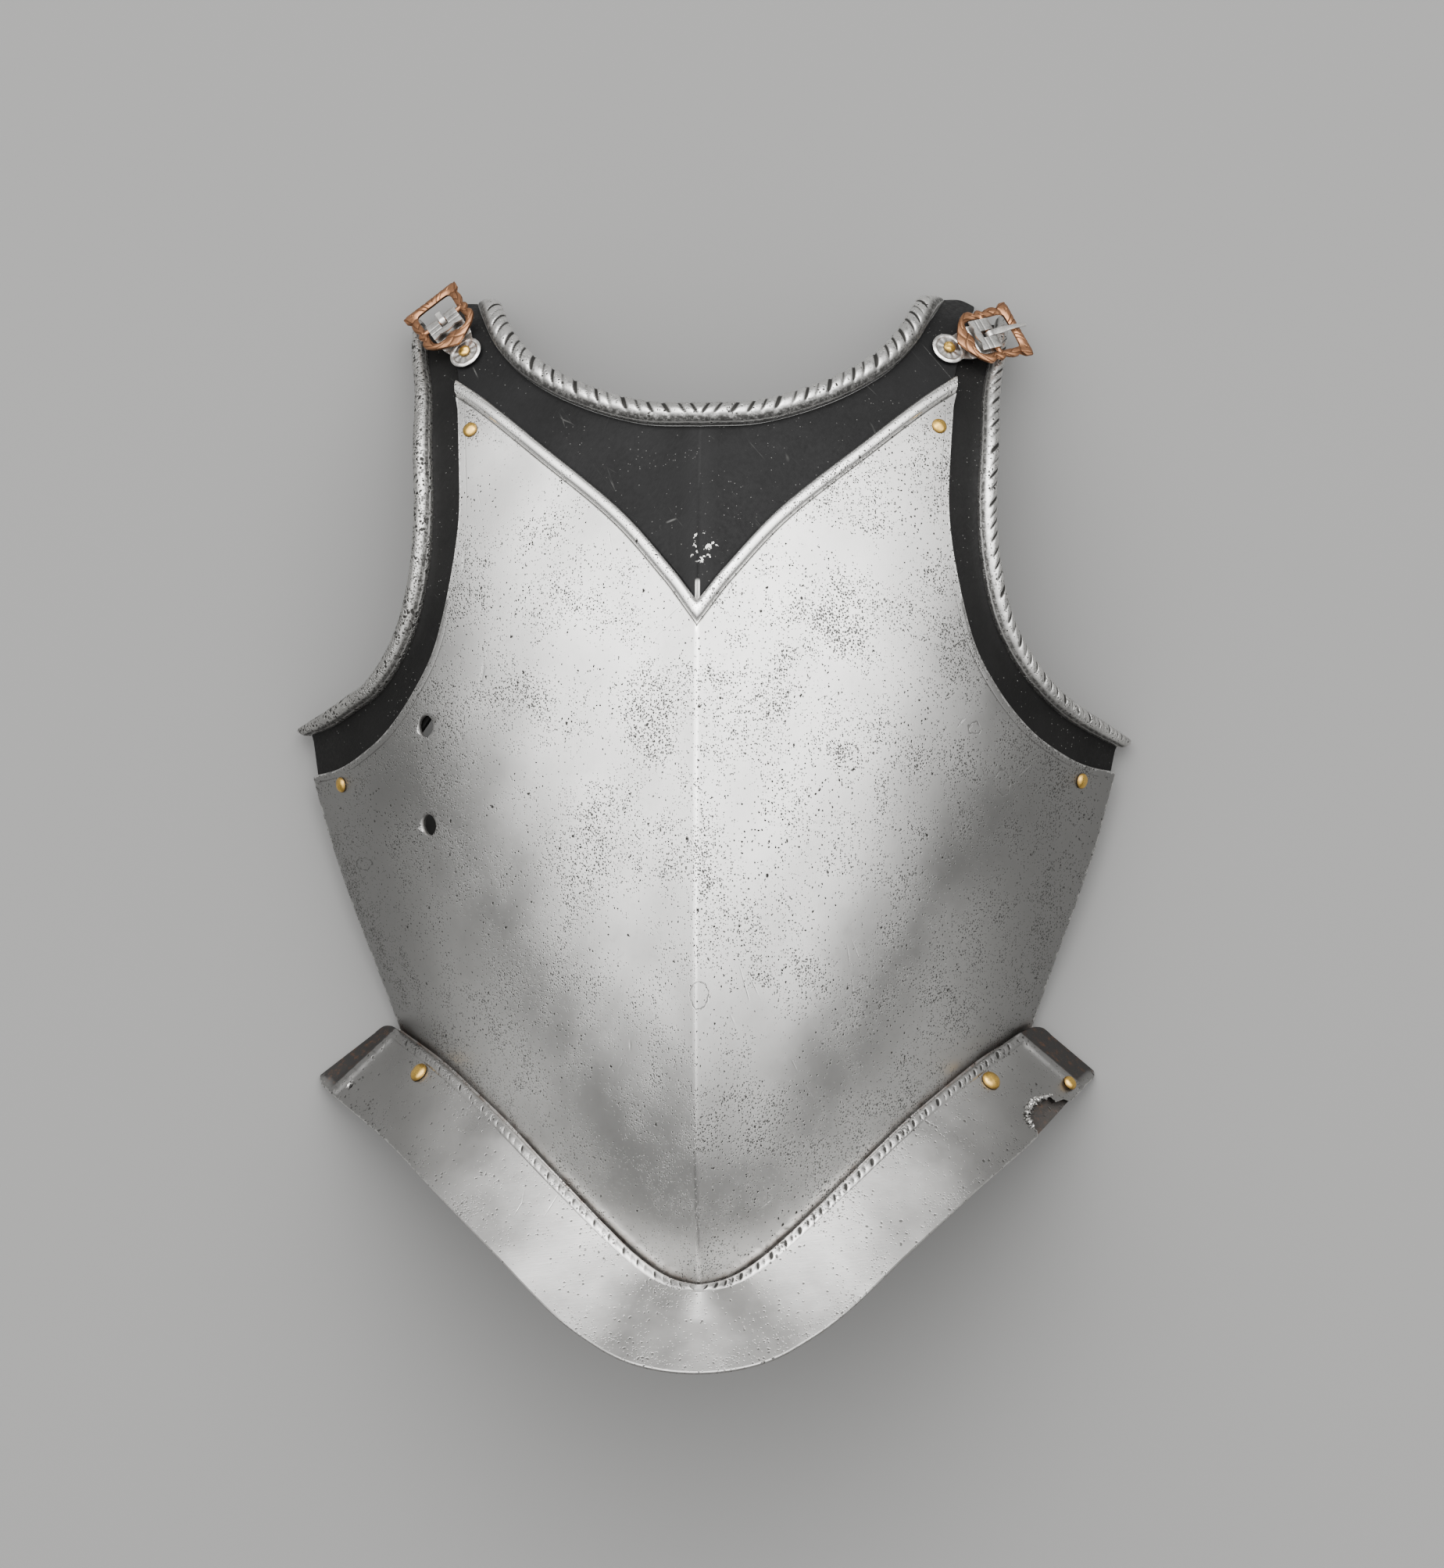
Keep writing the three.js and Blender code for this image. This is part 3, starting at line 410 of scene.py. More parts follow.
def build_piece(
    name: str,
    skins: Sequence[Skin],
    finishes: Sequence[bpy.types.Material] = (),
    place: Callable[[np.ndarray], np.ndarray] = LAY,
    sharp_deg: float = 40.0,
) -> bpy.types.Object:
    """Makes one object from one or more grids.

    Args:
        name: Piece name.
        skins: The grids.
        finishes: Materials by finish number.
        place: Takes the grids' points to metres in the part's own frame.
        sharp_deg: Edges that bend more than this stay sharp.

    Returns:
        The new object, linked to the scene.
    """
    corners, quads, numbers, base = [], [], [], 0
    names = sorted({key for skin in skins for key in skin.marks})
    marks = {key: [] for key in names}
    for skin in skins:
        points = skin.points.reshape(-1, 3)
        faces, slots = skin.faces()
        corners.append(place(points))
        quads.append(faces + base)
        numbers.append(slots)
        for key in names:
            values = skin.marks.get(key, np.zeros(skin.points.shape[:2]))
            marks[key].append(np.broadcast_to(values, skin.points.shape[:2]).ravel())
        base += len(points)
    mesh = bpy.data.meshes.new(name)
    mesh.from_pydata(np.concatenate(corners).tolist(), [], np.concatenate(quads).tolist())
    mesh.polygons.foreach_set("material_index", np.concatenate(numbers).astype(np.int32))
    for key in names:
        layer = mesh.attributes.new(key, "FLOAT", "POINT")
        layer.data.foreach_set("value", np.concatenate(marks[key]).astype(np.float32))
    for finish in finishes:
        mesh.materials.append(finish)
    outward(mesh)
    mesh.shade_smooth()
    mesh.set_sharp_from_angle(angle=math.radians(sharp_deg))
    piece = bpy.data.objects.new(name, mesh)
    bpy.context.collection.objects.link(piece)
    return piece


def cut_away(piece: bpy.types.Object, cutters: Sequence[bpy.types.Object]) -> None:
    """Takes closed cutters away from a piece for good, and removes them.

    Args:
        piece: The object to cut.
        cutters: Closed objects.
    """
    for cutter in cutters:
        step = piece.modifiers.new("cut", "BOOLEAN")
        step.operation = "DIFFERENCE"
        step.solver = "EXACT"
        step.object = cutter
        result = piece.evaluated_get(bpy.context.evaluated_depsgraph_get())
        mesh = bpy.data.meshes.new_from_object(result)
        piece.modifiers.clear()
        old, piece.data = piece.data, mesh
        mesh.name = old.name
        bpy.data.meshes.remove(old)
        bpy.data.objects.remove(cutter)


def turned(profile: Sequence[Sequence[float]], sides: int) -> np.ndarray:
    """Grid of a turned piece from [radius, height] pairs.

    Args:
        profile: The outline from the axis back to the axis, or closed on itself.
        sides: Steps round.

    Returns:
        Points shaped (len(profile), sides, 3), on the z axis.
    """
    radius, height = np.array(profile, float).T
    angle = 2 * np.pi * np.arange(sides) / sides
    grid = np.stack([np.outer(radius, np.cos(angle)), np.outer(radius, np.sin(angle))], -1)
    return np.concatenate([grid, np.broadcast_to(height[:, None, None], (*grid.shape[:2], 1))], -1)


@dataclass(frozen=True)
class Seat:
    """Place of a fastener: a point, its outward direction, and the direction of its x axis."""

    at: np.ndarray
    normal: np.ndarray
    along: tuple[float, float, float] = (1.0, 0.0, 0.0)

    def axes(self) -> np.ndarray:
        """The seat's x, y and z axes as rows."""
        cross = unit(np.cross(self.normal, np.array(self.along)))
        return np.stack([unit(np.cross(cross, self.normal)), cross, self.normal])

    def __call__(self, points: np.ndarray) -> np.ndarray:
        """Points of the fastener's own frame in the wearer's frame."""
        return points @ self.axes() + self.at


def chest_seat(side: Side, x: float, y: float, lift: float = 0.0) -> Seat:
    """Seat on the chest at (x, y), "lift" proud of it."""
    at = CHEST.point(np.array(x), np.array(y), lift)
    return Seat(mirrored(at, side), mirrored(CHEST.normal(np.array(x), np.array(y)), side))


def waist_seat(side: Side, x: float, down: float, lift: float = 0.0) -> Seat:
    """Seat on the waist plate at width x.

    Args:
        side: Side of the body.
        x: Width on the waist line.
        down: Share of the way to the free edge.
        lift: How far it stands proud.

    Returns:
        The seat.
    """
    root, run, face, reach = Waist(WAIST_ENDS[side]).station(np.array([x]))
    at = root + run * (reach * down)[:, None] + face * (WAIST_GAP + LAME + lift)
    return Seat(mirrored(at[0], side), mirrored(face[0], side))


def rod(name: str, radius: float, seat: Seat, below: float = 14.0, above: float = 8.0) -> bpy.types.Object:
    """Straight round cutter that stands on a seat."""
    grid = turned([(0, -below), (radius, -below), (radius, above), (0, above)], 48)
    return build_piece(name, [Skin(grid)], place=lambda points: LAY(seat(points)))


# ---------------------------------------------------------------- rolled and roped edges
ROLL_START = math.pi * 0.86
ROLL_OVERLAP = 0.93


@dataclass(frozen=True)
class Rope:
    """Chiselled nicks that make a rolled edge look like rope.

    Attributes:
        pitch: Distance from nick to nick along the roll.
        lean: How many pitches a nick moves on over one turn of the roll.
        depth: Depth of a nick.
        width: Half width of a nick.
        window: Share of the turn in which the nicks lie, first and last.
    """

    pitch: float
    lean: float
    depth: float
    width: float
    window: tuple[float, float]

    def cuts(self, length: np.ndarray, turn: np.ndarray, stray: float = 0.12) -> np.ndarray:
        """Strength of the nicks, 0 to 1.

        Args:
            length: Distance along the roll.
            turn: Share of the way round it.
            stray: How unevenly they are spaced.

        Returns:
            One value for each point.
        """
        phase = length / self.pitch + self.lean * turn
        phase = phase + stray * np.sin(1.7 * phase) + stray * np.sin(0.61 * phase + 1.0)
        off = (phase - np.round(phase)) * self.pitch
        low, high = self.window
        middle, half = (low + high) / 2, (high - low) / 2
        reach = np.clip(1.0 - (np.abs(turn - middle) / half) ** 4, 0.0, 1.0)
        uneven = 0.75 + 0.25 * np.sin(2.9 * np.round(phase) + 0.5)
        return bump(off, self.width) * reach * uneven


def roll_grid(
    middle: np.ndarray, out: np.ndarray, up: np.ndarray, radius: np.ndarray, sides: int
) -> tuple[np.ndarray, np.ndarray]:
    """Full round grid along a rolled edge.

    Args:
        middle: Centre line, shaped (n, 3).
        out: Direction away from the plate at each step.
        up: Direction away from the body at each step.
        radius: Radius at each point, shaped (n, sides).
        sides: Points round the roll.

    Returns:
        Points shaped (n, sides, 3), and the share of the turn at each.
    """
    turn = np.arange(sides) / sides
    angle = ROLL_START - 2 * np.pi * turn
    ring = out[:, None] * np.cos(angle)[None, :, None] + up[:, None] * np.sin(angle)[None, :, None]
    return middle[:, None] + ring * radius[..., None], np.broadcast_to(turn, radius.shape)


def running_length(points: np.ndarray) -> np.ndarray:
    """Distance along a line of points from its first."""
    return np.concatenate([[0.0], np.cumsum(np.linalg.norm(np.diff(points, axis=0), axis=1))])


# ---------------------------------------------------------------- main plate
def blend_edges(lower: Callable, upper: Callable, inner: Callable, outer: Callable,
                s: np.ndarray, t: np.ndarray) -> np.ndarray:
    """Points inside four edges, by the usual blend of opposite sides.

    Args:
        lower: Lower edge by s.
        upper: Upper edge by s.
        inner: Inner edge by t.
        outer: Outer edge by t.
        s: Shares across, one for each column.
        t: Shares upward, one for each row.

    Returns:
        Points shaped (len(s), len(t), 2).
    """
    across, rise = s[:, None, None], t[None, :, None]
    low, high = lower(s)[:, None], upper(s)[:, None]
    near, far = inner(t)[None], outer(t)[None]
    ends = np.array([0.0, 1.0])
    (low_near, low_far), (high_near, high_far) = lower(ends), upper(ends)
    corners = (1 - across) * (1 - rise) * low_near + across * (1 - rise) * low_far
    corners = corners + (1 - across) * rise * high_near + across * rise * high_far
    return (1 - rise) * low + rise * high + (1 - across) * near + across * far - corners


def straight(first: Sequence[float], last: Sequence[float]) -> Callable[[np.ndarray], np.ndarray]:
    """Straight line between two points, read by its share."""
    a, b = np.array(first, float), np.array(last, float)
    return lambda t: a + (b - a) * np.asarray(t, float)[..., None]


def distance_to(line: np.ndarray, x: np.ndarray, y: np.ndarray) -> np.ndarray:
    """Distance from each (x, y) to a line of close points."""
    flat = np.stack([x.ravel(), y.ravel()], -1)
    best = np.full(len(flat), np.inf)
    for a, b in zip(line[:-1], line[1:]):
        leg = b - a
        share = np.clip(((flat - a) @ leg) / (leg @ leg), 0, 1)
        best = np.minimum(best, np.linalg.norm(flat - a - share[:, None] * leg, axis=1))
    return best.reshape(x.shape)


class PlateFinish(Enum):
    """Finish numbers of the main plate."""

    FIELD = 0
    PANEL = 1
    INSIDE = 2


@dataclass
class MainPlate:
    """The raised chest plate with its ridge, its border bead, the black neck panel and the waist flange."""

    columns: int = 116
    field_rows: int = 88
    panel_rows: int = 20
    bead_width: float = 5.6
    bead_height: float = 1.7
    edge_round: float = 0.45
    line_inset: float = 3.0
    wander: float = 0.16
    half_width: float = 130.0
    field_height: float = 300.0
    mitre_reach: float = 7.0
    edge_steps: int = 160
    bead_profile: tuple[tuple[float, float], ...] = (
        (-1.13, 0.0), (-1.04, -0.3), (-0.96, 0.0), (-0.9, 0.4), (-0.78, 0.72), (-0.62, 0.92),
        (-0.42, 1.0), (-0.24, 0.9), (-0.12, 0.62), (-0.05, 0.2),
    )

    def __post_init__(self) -> None:
        """Lays out the outlines of one half."""
        self.waist_line = Path(WAIST_LINE)
        self.panel_edge = Path(PANEL_EDGE)
        self.seam = Path(SHOULDER_SEAM)
        self.neck = CorneredPath(NECK_EDGE, SHOULDER_TOP, NECK_SHARE)
        self.side_edge = CorneredPath(SIDE_EDGE, ARM_EDGE, ARMPIT_SHARE)
        self.lower_ridge = straight(WAIST_LINE[0], PANEL_EDGE[0])
        self.upper_ridge = straight(PANEL_EDGE[0], NECK_EDGE[0])

    def field_points(self, s: np.ndarray, t: np.ndarray) -> np.ndarray:
        """Places [x, y] on the field."""
        return blend_edges(self.waist_line, self.panel_edge, self.lower_ridge, self.side_edge, s, t)

    def panel_points(self, s: np.ndarray, t: np.ndarray) -> np.ndarray:
        """Places [x, y] on the neck panel."""
        return blend_edges(self.panel_edge, self.neck, self.upper_ridge, self.seam, s, t)

    def unevenness(self, x: np.ndarray, y: np.ndarray) -> np.ndarray:
        """Shallow waves that the hammer left in the plate.

        Args:
            x: Places across, negative on the wearer's right.
            y: Heights.

        Returns:
            Lift of the face in millimetres.
        """
        wave = np.sin(x / 11.0 + 1.3 * np.sin(y / 23.0)) * np.sin(y / 14.0 + 0.8 * np.sin(x / 19.0 + 1.0))
        wave = wave + 0.6 * np.sin(x / 6.3 + y / 17.0 + 2.0) * np.sin(y / 7.7 - x / 21.0)
        return self.wander * wave * np.clip(np.abs(x) / 14.0, 0.0, 1.0)

    def half(self, side: Side) -> tuple[np.ndarray, dict[str, np.ndarray]]:
        """Rows of points of one half.

        Args:
            side: Side of the body.

        Returns:
            Closed loops shaped (columns, count, 3) from the ridge outward, and the marks at each point:
            distance from the incised line, whether it is on the bead, and distance from the side edge
            and from the waist line.
        """
        s = np.concatenate([np.linspace(0, 1 - self.edge_round / self.half_width, self.columns - 1), [1.0]])
        border = self.panel_edge(s)
        to_neck = self._to_neck(border)
        top = 1 - 2.1 * self.bead_width / self.field_height
        places = [self.field_points(s, np.linspace(0, top, self.field_rows))]
        lifts = [np.zeros(self.field_rows)]
        for share, height in self.bead_profile:
            places.append((border + to_neck * share * self.bead_width)[:, None])
            lifts.append([height * self.bead_height])
        places.append(self.panel_points(s, np.linspace(0, 1, self.panel_rows)))
        lifts.append(np.full(self.panel_rows, -PANEL_SINK))
        place = np.concatenate(places, axis=1)
        x, y = place[..., 0], place[..., 1]
        lift = np.broadcast_to(np.concatenate(lifts), x.shape).copy()
        lift += self.unevenness(x * side.value, y)
        rim = np.zeros(len(s))
        rim[-1] = self.edge_round
        outer = CHEST.point(x, y, lift - rim[:, None])
        inner = CHEST.point(x, y, lift - PLATE + rim[:, None])
        loops = self._with_flange(outer, inner, x[:, 0], y[:, 0])
        edge = self.side_edge(np.linspace(0, 1, self.edge_steps))
        arm = distance_to(edge[int(self.edge_steps * ARMPIT_SHARE):], x, y)
        line = np.abs(arm - self.line_inset)
        groove = self.field_rows + 1
        line[:, groove - 1:groove + 2] = np.minimum(line[:, groove - 1:groove + 2], [1.0, 0.0, 1.0])
        bead = np.zeros_like(line)
        bead[:, groove + 2:self.field_rows + len(self.bead_profile) - 1] = 1.0
        marks = {
            "line_mm": self._pad(line),
            "bead": self._pad(bead),
            "edge_mm": self._pad(distance_to(edge, x, y)),
            "waist_mm": self._pad(y - y[:, :1]),
        }
        return loops, marks

    def _to_neck(self, border: np.ndarray) -> np.ndarray:
        """Direction across the bead at each point of the panel's border.

        Args:
            border: Points [x, y] of the border.

        Returns:
            Directions square to the border, mitred at the ridge, that make the bead evenly wide.
        """
        tangent = unit(np.gradient(border, axis=0))
        square = np.stack([-tangent[:, 1], tangent[:, 0]], -1)
        from_ends = np.minimum(border[:, 0], border[-1, 0] - border[:, 0])
        leaning = np.stack([square[:, 0] * np.clip(from_ends / self.mitre_reach, 0.0, 1.0), square[:, 1]], -1)
        way = unit(leaning)
        return way / np.sum(way * square, axis=1)[:, None]

    def _with_flange(self, outer: np.ndarray, inner: np.ndarray, x: np.ndarray, y: np.ndarray) -> np.ndarray:
        """Closes each column into a loop with the turned waist edge.

        Args:
            outer: Outer face by column.
            inner: Inner face by column.
            x: Width at each column's root.
            y: Height at each column's root.

        Returns:
            The closed loops.
        """
        _, run, face, _ = Waist(EVEN_ENDS).station(x)
        mitre = unit(CHEST.normal(x, y) + face)
        inner = inner.copy()
        inner[:, 0] = outer[:, 0] - mitre * (PLATE / np.sum(mitre * face, axis=1))[:, None]
        lip = outer[:, 0] + run * FLANGE_REACH * 0.97
        half_lip = outer[:, 0] + run * FLANGE_REACH * 0.4
        flange = np.stack([lip, half_lip], axis=1)
        front = np.concatenate([flange, outer], axis=1)
        back = np.concatenate([flange - (face * PLATE)[:, None], inner], axis=1)
        return np.concatenate([front, back[:, ::-1]], axis=1)

    def _pad(self, values: np.ndarray) -> np.ndarray:
        """Values of the outer face spread over the closed loops."""
        front = np.concatenate([values[:, :1], values[:, :1], values], axis=1)
        return np.concatenate([front, front[:, ::-1]], axis=1)

    def slots(self, loops: int) -> np.ndarray:
        """Finish number of each face.

        Args:
            loops: Number of closed loops.

        Returns:
            Numbers shaped (loops - 1, count).
        """
        front = 2 + self.field_rows + len(self.bead_profile)
        row = np.full(2 * (front + self.panel_rows), PlateFinish.FIELD.value)
        row[front - 1:front + self.panel_rows] = PlateFinish.PANEL.value
        row[front + self.panel_rows:-1] = PlateFinish.INSIDE.value
        return np.broadcast_to(row, (loops - 1, len(row)))

    def build(self, finishes: Sequence[bpy.types.Material]) -> bpy.types.Object:
        """Builds the plate with its holes.

        Args:
            finishes: Materials in the order of PlateFinish.

        Returns:
            The plate.
        """
        right, right_marks = self.half(Side.RIGHT)
        left, left_marks = self.half(Side.LEFT)
        loops = np.concatenate([mirrored(right, Side.RIGHT)[::-1], left[1:]])
        marks = {key: np.concatenate([right_marks[key][::-1], left_marks[key][1:]]) for key in left_marks}
        skin = Skin(loops, marks, self.slots(len(loops)), rungs=True)
        piece = build_piece("main_plate_body", [skin], finishes)
        cutters = [rod(f"lance_drill_{k}", LANCE_HOLE_RADIUS, chest_seat(Side.RIGHT, x, y))
                   for k, (x, y) in enumerate(LANCE_HOLES)]
        cut_away(piece, cutters)
        return piece


@dataclass
class NeckRoll:
    """The turned and roped neck edge."""

    plate: MainPlate
    radius: float = 4.75
    proud: float = 2.2
    fade: float = 0.06
    steps: int = 660
    sides: int = 30
    rope: Rope = Rope(pitch=6.0, lean=-3.4, depth=0.95, width=0.9, window=(0.07, 0.5))

    def build(self, finish: bpy.types.Material) -> bpy.types.Object:
        """Builds the roll along the neck line."""
        s = np.linspace(-NECK_SHARE, NECK_SHARE, self.steps)
        place = self.plate.neck(np.minimum(np.abs(s), NECK_SHARE - 1e-6))
        place = place * np.stack([np.where(s < 0, -1.0, 1.0), np.ones_like(s)], -1)
        foot = CHEST.point(place[:, 0], place[:, 1], -PANEL_SINK)
        along = unit(np.gradient(foot, axis=0))
        flip = np.stack([np.where(s < 0, -1.0, 1.0), np.ones_like(s), np.ones_like(s)], -1)
        up = CHEST.normal(np.abs(place[:, 0]), place[:, 1]) * flip
        out = unit(np.cross(up, along))
        fade = np.clip((NECK_SHARE - np.abs(s)) / self.fade, 0.0, 1.0) ** 0.7
        radius = PLATE / 2 + (self.radius - PLATE / 2) * fade
        proud = -PLATE / 2 + (self.proud + PLATE / 2) * fade
        middle = foot + out * (radius * ROLL_OVERLAP)[:, None] + up * proud[:, None]
        run = running_length(middle)
        length = np.abs(run - run[-1] / 2)
        turn = np.broadcast_to(np.arange(self.sides) / self.sides, (self.steps, self.sides))
        cuts = self.rope.cuts(length[:, None], turn) * (fade[:, None] > 0.4)
        grid, turn = roll_grid(middle, out, up, radius[:, None] - self.rope.depth * cuts, self.sides)
        # The under mark is painted shade on the side of the roll that faces the panel. The roll's material
        # darkens it.
        marks = {"nick": cuts, "under": np.clip((0.12 - turn) / 0.03, 0.0, 1.0)}
        return build_piece("neck_roll", [capped(Skin(grid, marks))], [finish], sharp_deg=60)


def capped(skin: Skin) -> Skin:
    """The same grid of closed loops with both ends drawn in to a point."""
    first = np.broadcast_to(skin.points[:1].mean(axis=1, keepdims=True), skin.points[:1].shape)
    last = np.broadcast_to(skin.points[-1:].mean(axis=1, keepdims=True), skin.points[-1:].shape)
    marks = {key: np.concatenate([value[:1], value, value[-1:]]) for key, value in skin.marks.items()}
    return Skin(np.concatenate([first, skin.points, last]), marks)


# ---------------------------------------------------------------- arm gussets
@dataclass
class ArmGusset:
    """One riveted arm gusset: a black band under the plate's arm edge and its roped roll."""

    side: Side
    rope: Rope
    roped_share: float = 1.0
    radius: float = 3.5
    swell: float = 0.9
    crowding: float = 30.0
    crowded_reach: float = 25.0
    proud: float = 1.2
    steps: int = 420
    sides: int = 26
    crease_lift: float = 0.6

    def _rows(self) -> np.ndarray:
        """The rows of the gusset at each step."""
        rows = np.array(GUSSET_ROWS, float)
        rise = ARMPIT_RISE[self.side]
        rows[:len(rise), 3] += rise
        rows[:len(rise), 5] += rise
        return Path(rows)(np.linspace(0, 1, self.steps))

    def band(self) -> Skin:
        """The tucked strip and the black band."""
        edge_x, edge_y, crease_x, crease_y, _, _, under = self._rows().T
        edge, crease = np.stack([edge_x, edge_y], -1), np.stack([crease_x, crease_y], -1)
        inward = unit(edge - crease)
        tucked = edge + inward * GUSSET_TUCK
        half = (edge + crease) / 2
        shares = np.array([0.0, 0.02, 0.5, 0.97, 1.0])
        stretches = [(tucked, edge, shares * 0.9), (edge, half, np.array([0.0, 0.3, 0.6, 1.0])),
                     (half, crease, np.array([0.4, 0.7, 0.9, 1.0]))]
        places = np.stack([a + (b - a) * k for a, b, ks in stretches for k in ks], axis=1)
        lift = np.tile(-under[:, None], (1, places.shape[1]))
        lift[:, -3:] += self.crease_lift * np.array([0.15, 0.6, 1.0])
        outer = CHEST.point(places[..., 0], places[..., 1], lift)
        inner = CHEST.point(places[..., 0], places[..., 1], lift - GUSSET)
        return Skin(np.concatenate([outer, inner[:, ::-1]], axis=1), rungs=True)

    def roll(self) -> Skin:
        """The turned outer edge with its nicks."""
        _, _, crease_x, crease_y, rim_x, rim_y, under = self._rows().T
        foot = CHEST.point(crease_x, crease_y, -under + self.crease_lift)
        up = CHEST.normal(crease_x, crease_y)
        out = CHEST.point(rim_x, rim_y) - CHEST.point(crease_x, crease_y)
        out = unit(out - up * np.sum(out * up, axis=1)[:, None])
        thick = self.radius + self.swell * np.sin(np.pi * np.linspace(0, 1, self.steps)) ** 0.6
        middle = foot + out * (thick * ROLL_OVERLAP)[:, None] + up * self.proud
        length = running_length(middle)
        paced = length + self.crowding * (1 - np.exp(-length / self.crowded_reach))
        turn = np.broadcast_to(np.arange(self.sides) / self.sides, (self.steps, self.sides))
        shown = np.clip((self.roped_share - length / length[-1]) * 12.0, 0.0, 1.0)
        cuts = self.rope.cuts(paced[:, None], turn) * shown[:, None]
        grid, turn = roll_grid(middle, out, up, thick[:, None] - self.rope.depth * cuts, self.sides)
        # The under mark is painted shade on the side of the roll that faces the plate. The roll's material
        # darkens it.
        marks = {"nick": cuts, "under": np.clip((0.09 - turn) / 0.05, 0.0, 1.0)}
        return capped(Skin(grid, marks))

    def build(self, black: bpy.types.Material, steel: bpy.types.Material) -> list[bpy.types.Object]:
        """Builds the black band and the steel roll."""
        def place(points: np.ndarray) -> np.ndarray:
            """Points of the left half on this gusset's side, in the part's own frame."""
            return LAY(mirrored(points, self.side))

        name = f"gusset_{self.side.label}"
        return [
            build_piece(f"{name}_band", [self.band()], [black], place),
            build_piece(f"{name}_roll", [self.roll()], [steel], place, 60),
        ]


# ---------------------------------------------------------------- waist plate
@dataclass
class WaistPlate:
    """The flared waist plate with its roped edge, its cross ridges and its torn corner."""

    rope_right: Rope = Rope(pitch=4.3, lean=0.6, depth=0.3, width=0.6, window=(-0.15, 1.0))
    rope_left: Rope = Rope(pitch=3.9, lean=0.6, depth=0.5, width=0.72, window=(-0.15, 1.0))
    bead: tuple[float, float] = (0.3, 4.6)
    bead_height: float = 0.8
    ridge_height: float = 1.3
    ridge_half: float = 1.3
    ridge_rope: Rope = Rope(pitch=2.7, lean=0.0, depth=0.35, width=0.5, window=(-0.1, 1.1))
    tab_corner: float = 3.0
    steps: int = 300
    bead_rows: int = 12
    face_rows: int = 20
    edge_round: float = 0.4
    hole_radius: float = 1.5
    torn: tuple[tuple[float, float], ...] = (
        (136, 112.4), (134.2, 110.4), (131.6, 110.2), (130.2, 108.2), (129.6, 106.6), (130.2, 104.6),
        (129.0, 103.2), (130.6, 101.6), (131.2, 99.8), (133.0, 98.6), (134, 90), (158, 90), (158, 110),
        (149, 110.6), (146.6, 109.2), (143.6, 110.4), (140.4, 109.4), (138.6, 111.2),
    )

    def half(self, side: Side) -> Skin:
        """Loops of one half from the middle outward.

        Args:
            side: Side of the body.

        Returns:
            Closed loops with their marks.
        """
        ridge, tab = WAIST_ENDS[side]
        x = np.concatenate([
            np.linspace(0, ridge.x - 3, self.steps, endpoint=False),
            np.linspace(ridge.x - 3, ridge.x + 3, 36, endpoint=False),
            np.linspace(ridge.x + 3, tab.x - 0.15, 10),
            [tab.x],
        ])
        root, run, face, reach = Waist(WAIST_ENDS[side]).station(x)
        near_tab = np.clip((x - (tab.x - self.tab_corner)) / self.tab_corner, 0.0, 1.0)
        trim = self.tab_corner * (1 - np.sqrt(np.maximum(1 - near_tab**2, 0.0)))
        length = reach - FLANGE_SEAM - 2 * trim
        bead_at = np.linspace(0, self.bead[1], self.bead_rows)
        rest = self.bead[1] + (length[:, None] - self.bead[1]) * np.linspace(0, 1, self.face_rows)[None, 1:]
        down = np.concatenate([np.broadcast_to(bead_at, (len(x), self.bead_rows)), rest], axis=1)
        down = np.concatenate([down[:, :-1], down[:, -1:] - self.edge_round, down[:, -1:]], axis=1)
        share = np.clip((down - self.bead[0]) / (self.bead[1] - self.bead[0]), 0.0, 1.0)
        rope = self.rope_right if side is Side.RIGHT else self.rope_left
        along = running_length(root)
        roped = (1 - bump(x - ridge.x, 3.0)) * (x < ridge.x)
        cuts = rope.cuts(along[:, None], share) * np.sin(np.pi * share) * roped[:, None]
        profile = np.sqrt(np.maximum(np.sin(np.pi * share), 0.0))
        height = self.bead_height * profile * np.where(x < ridge.x, 1.0, 0.25)[:, None] - rope.depth * cuts
        rise = bump(x - ridge.x, self.ridge_half)[:, None] * np.ones_like(down)
        ridge_cuts = self.ridge_rope.cuts(down, np.full_like(down, 0.5)) * rise
        height = height * (1 - rise) + self.ridge_height * rise - self.ridge_rope.depth * ridge_cuts
        rim = np.zeros_like(down)
        rim[:, 0] = self.edge_round
        rim[:, -1] = self.edge_round
        rim[-1] = self.edge_round
        base = root[:, None] + run[:, None] * (FLANGE_SEAM + trim[:, None] + down)[..., None]
        outer = base + face[:, None] * (WAIST_GAP + LAME + height - rim)[..., None]
        inner = base + face[:, None] * (WAIST_GAP + rim * 0.5)[..., None]
        tab_share = np.clip((x - ridge.x - 0.6) / 0.6, 0.0, 1.0)[:, None]
        far = np.clip(((reach[:, None] - down) / 6.0 - 0.6) / 0.25, 0.0, 1.0)
        marks = {
            "nick": np.maximum(cuts * min(1.0, rope.depth / 0.45), ridge_cuts * 0.35),
            "black": tab_share * far,
            "edge_mm": np.minimum(down, length[:, None] - down),
        }
        marks = {key: np.concatenate([value, value[:, ::-1]], axis=1) for key, value in marks.items()}
        marks["inside"] = np.concatenate([np.zeros_like(down), np.ones_like(down)], axis=1)
        return Skin(np.concatenate([outer, inner[:, ::-1]], axis=1), marks)

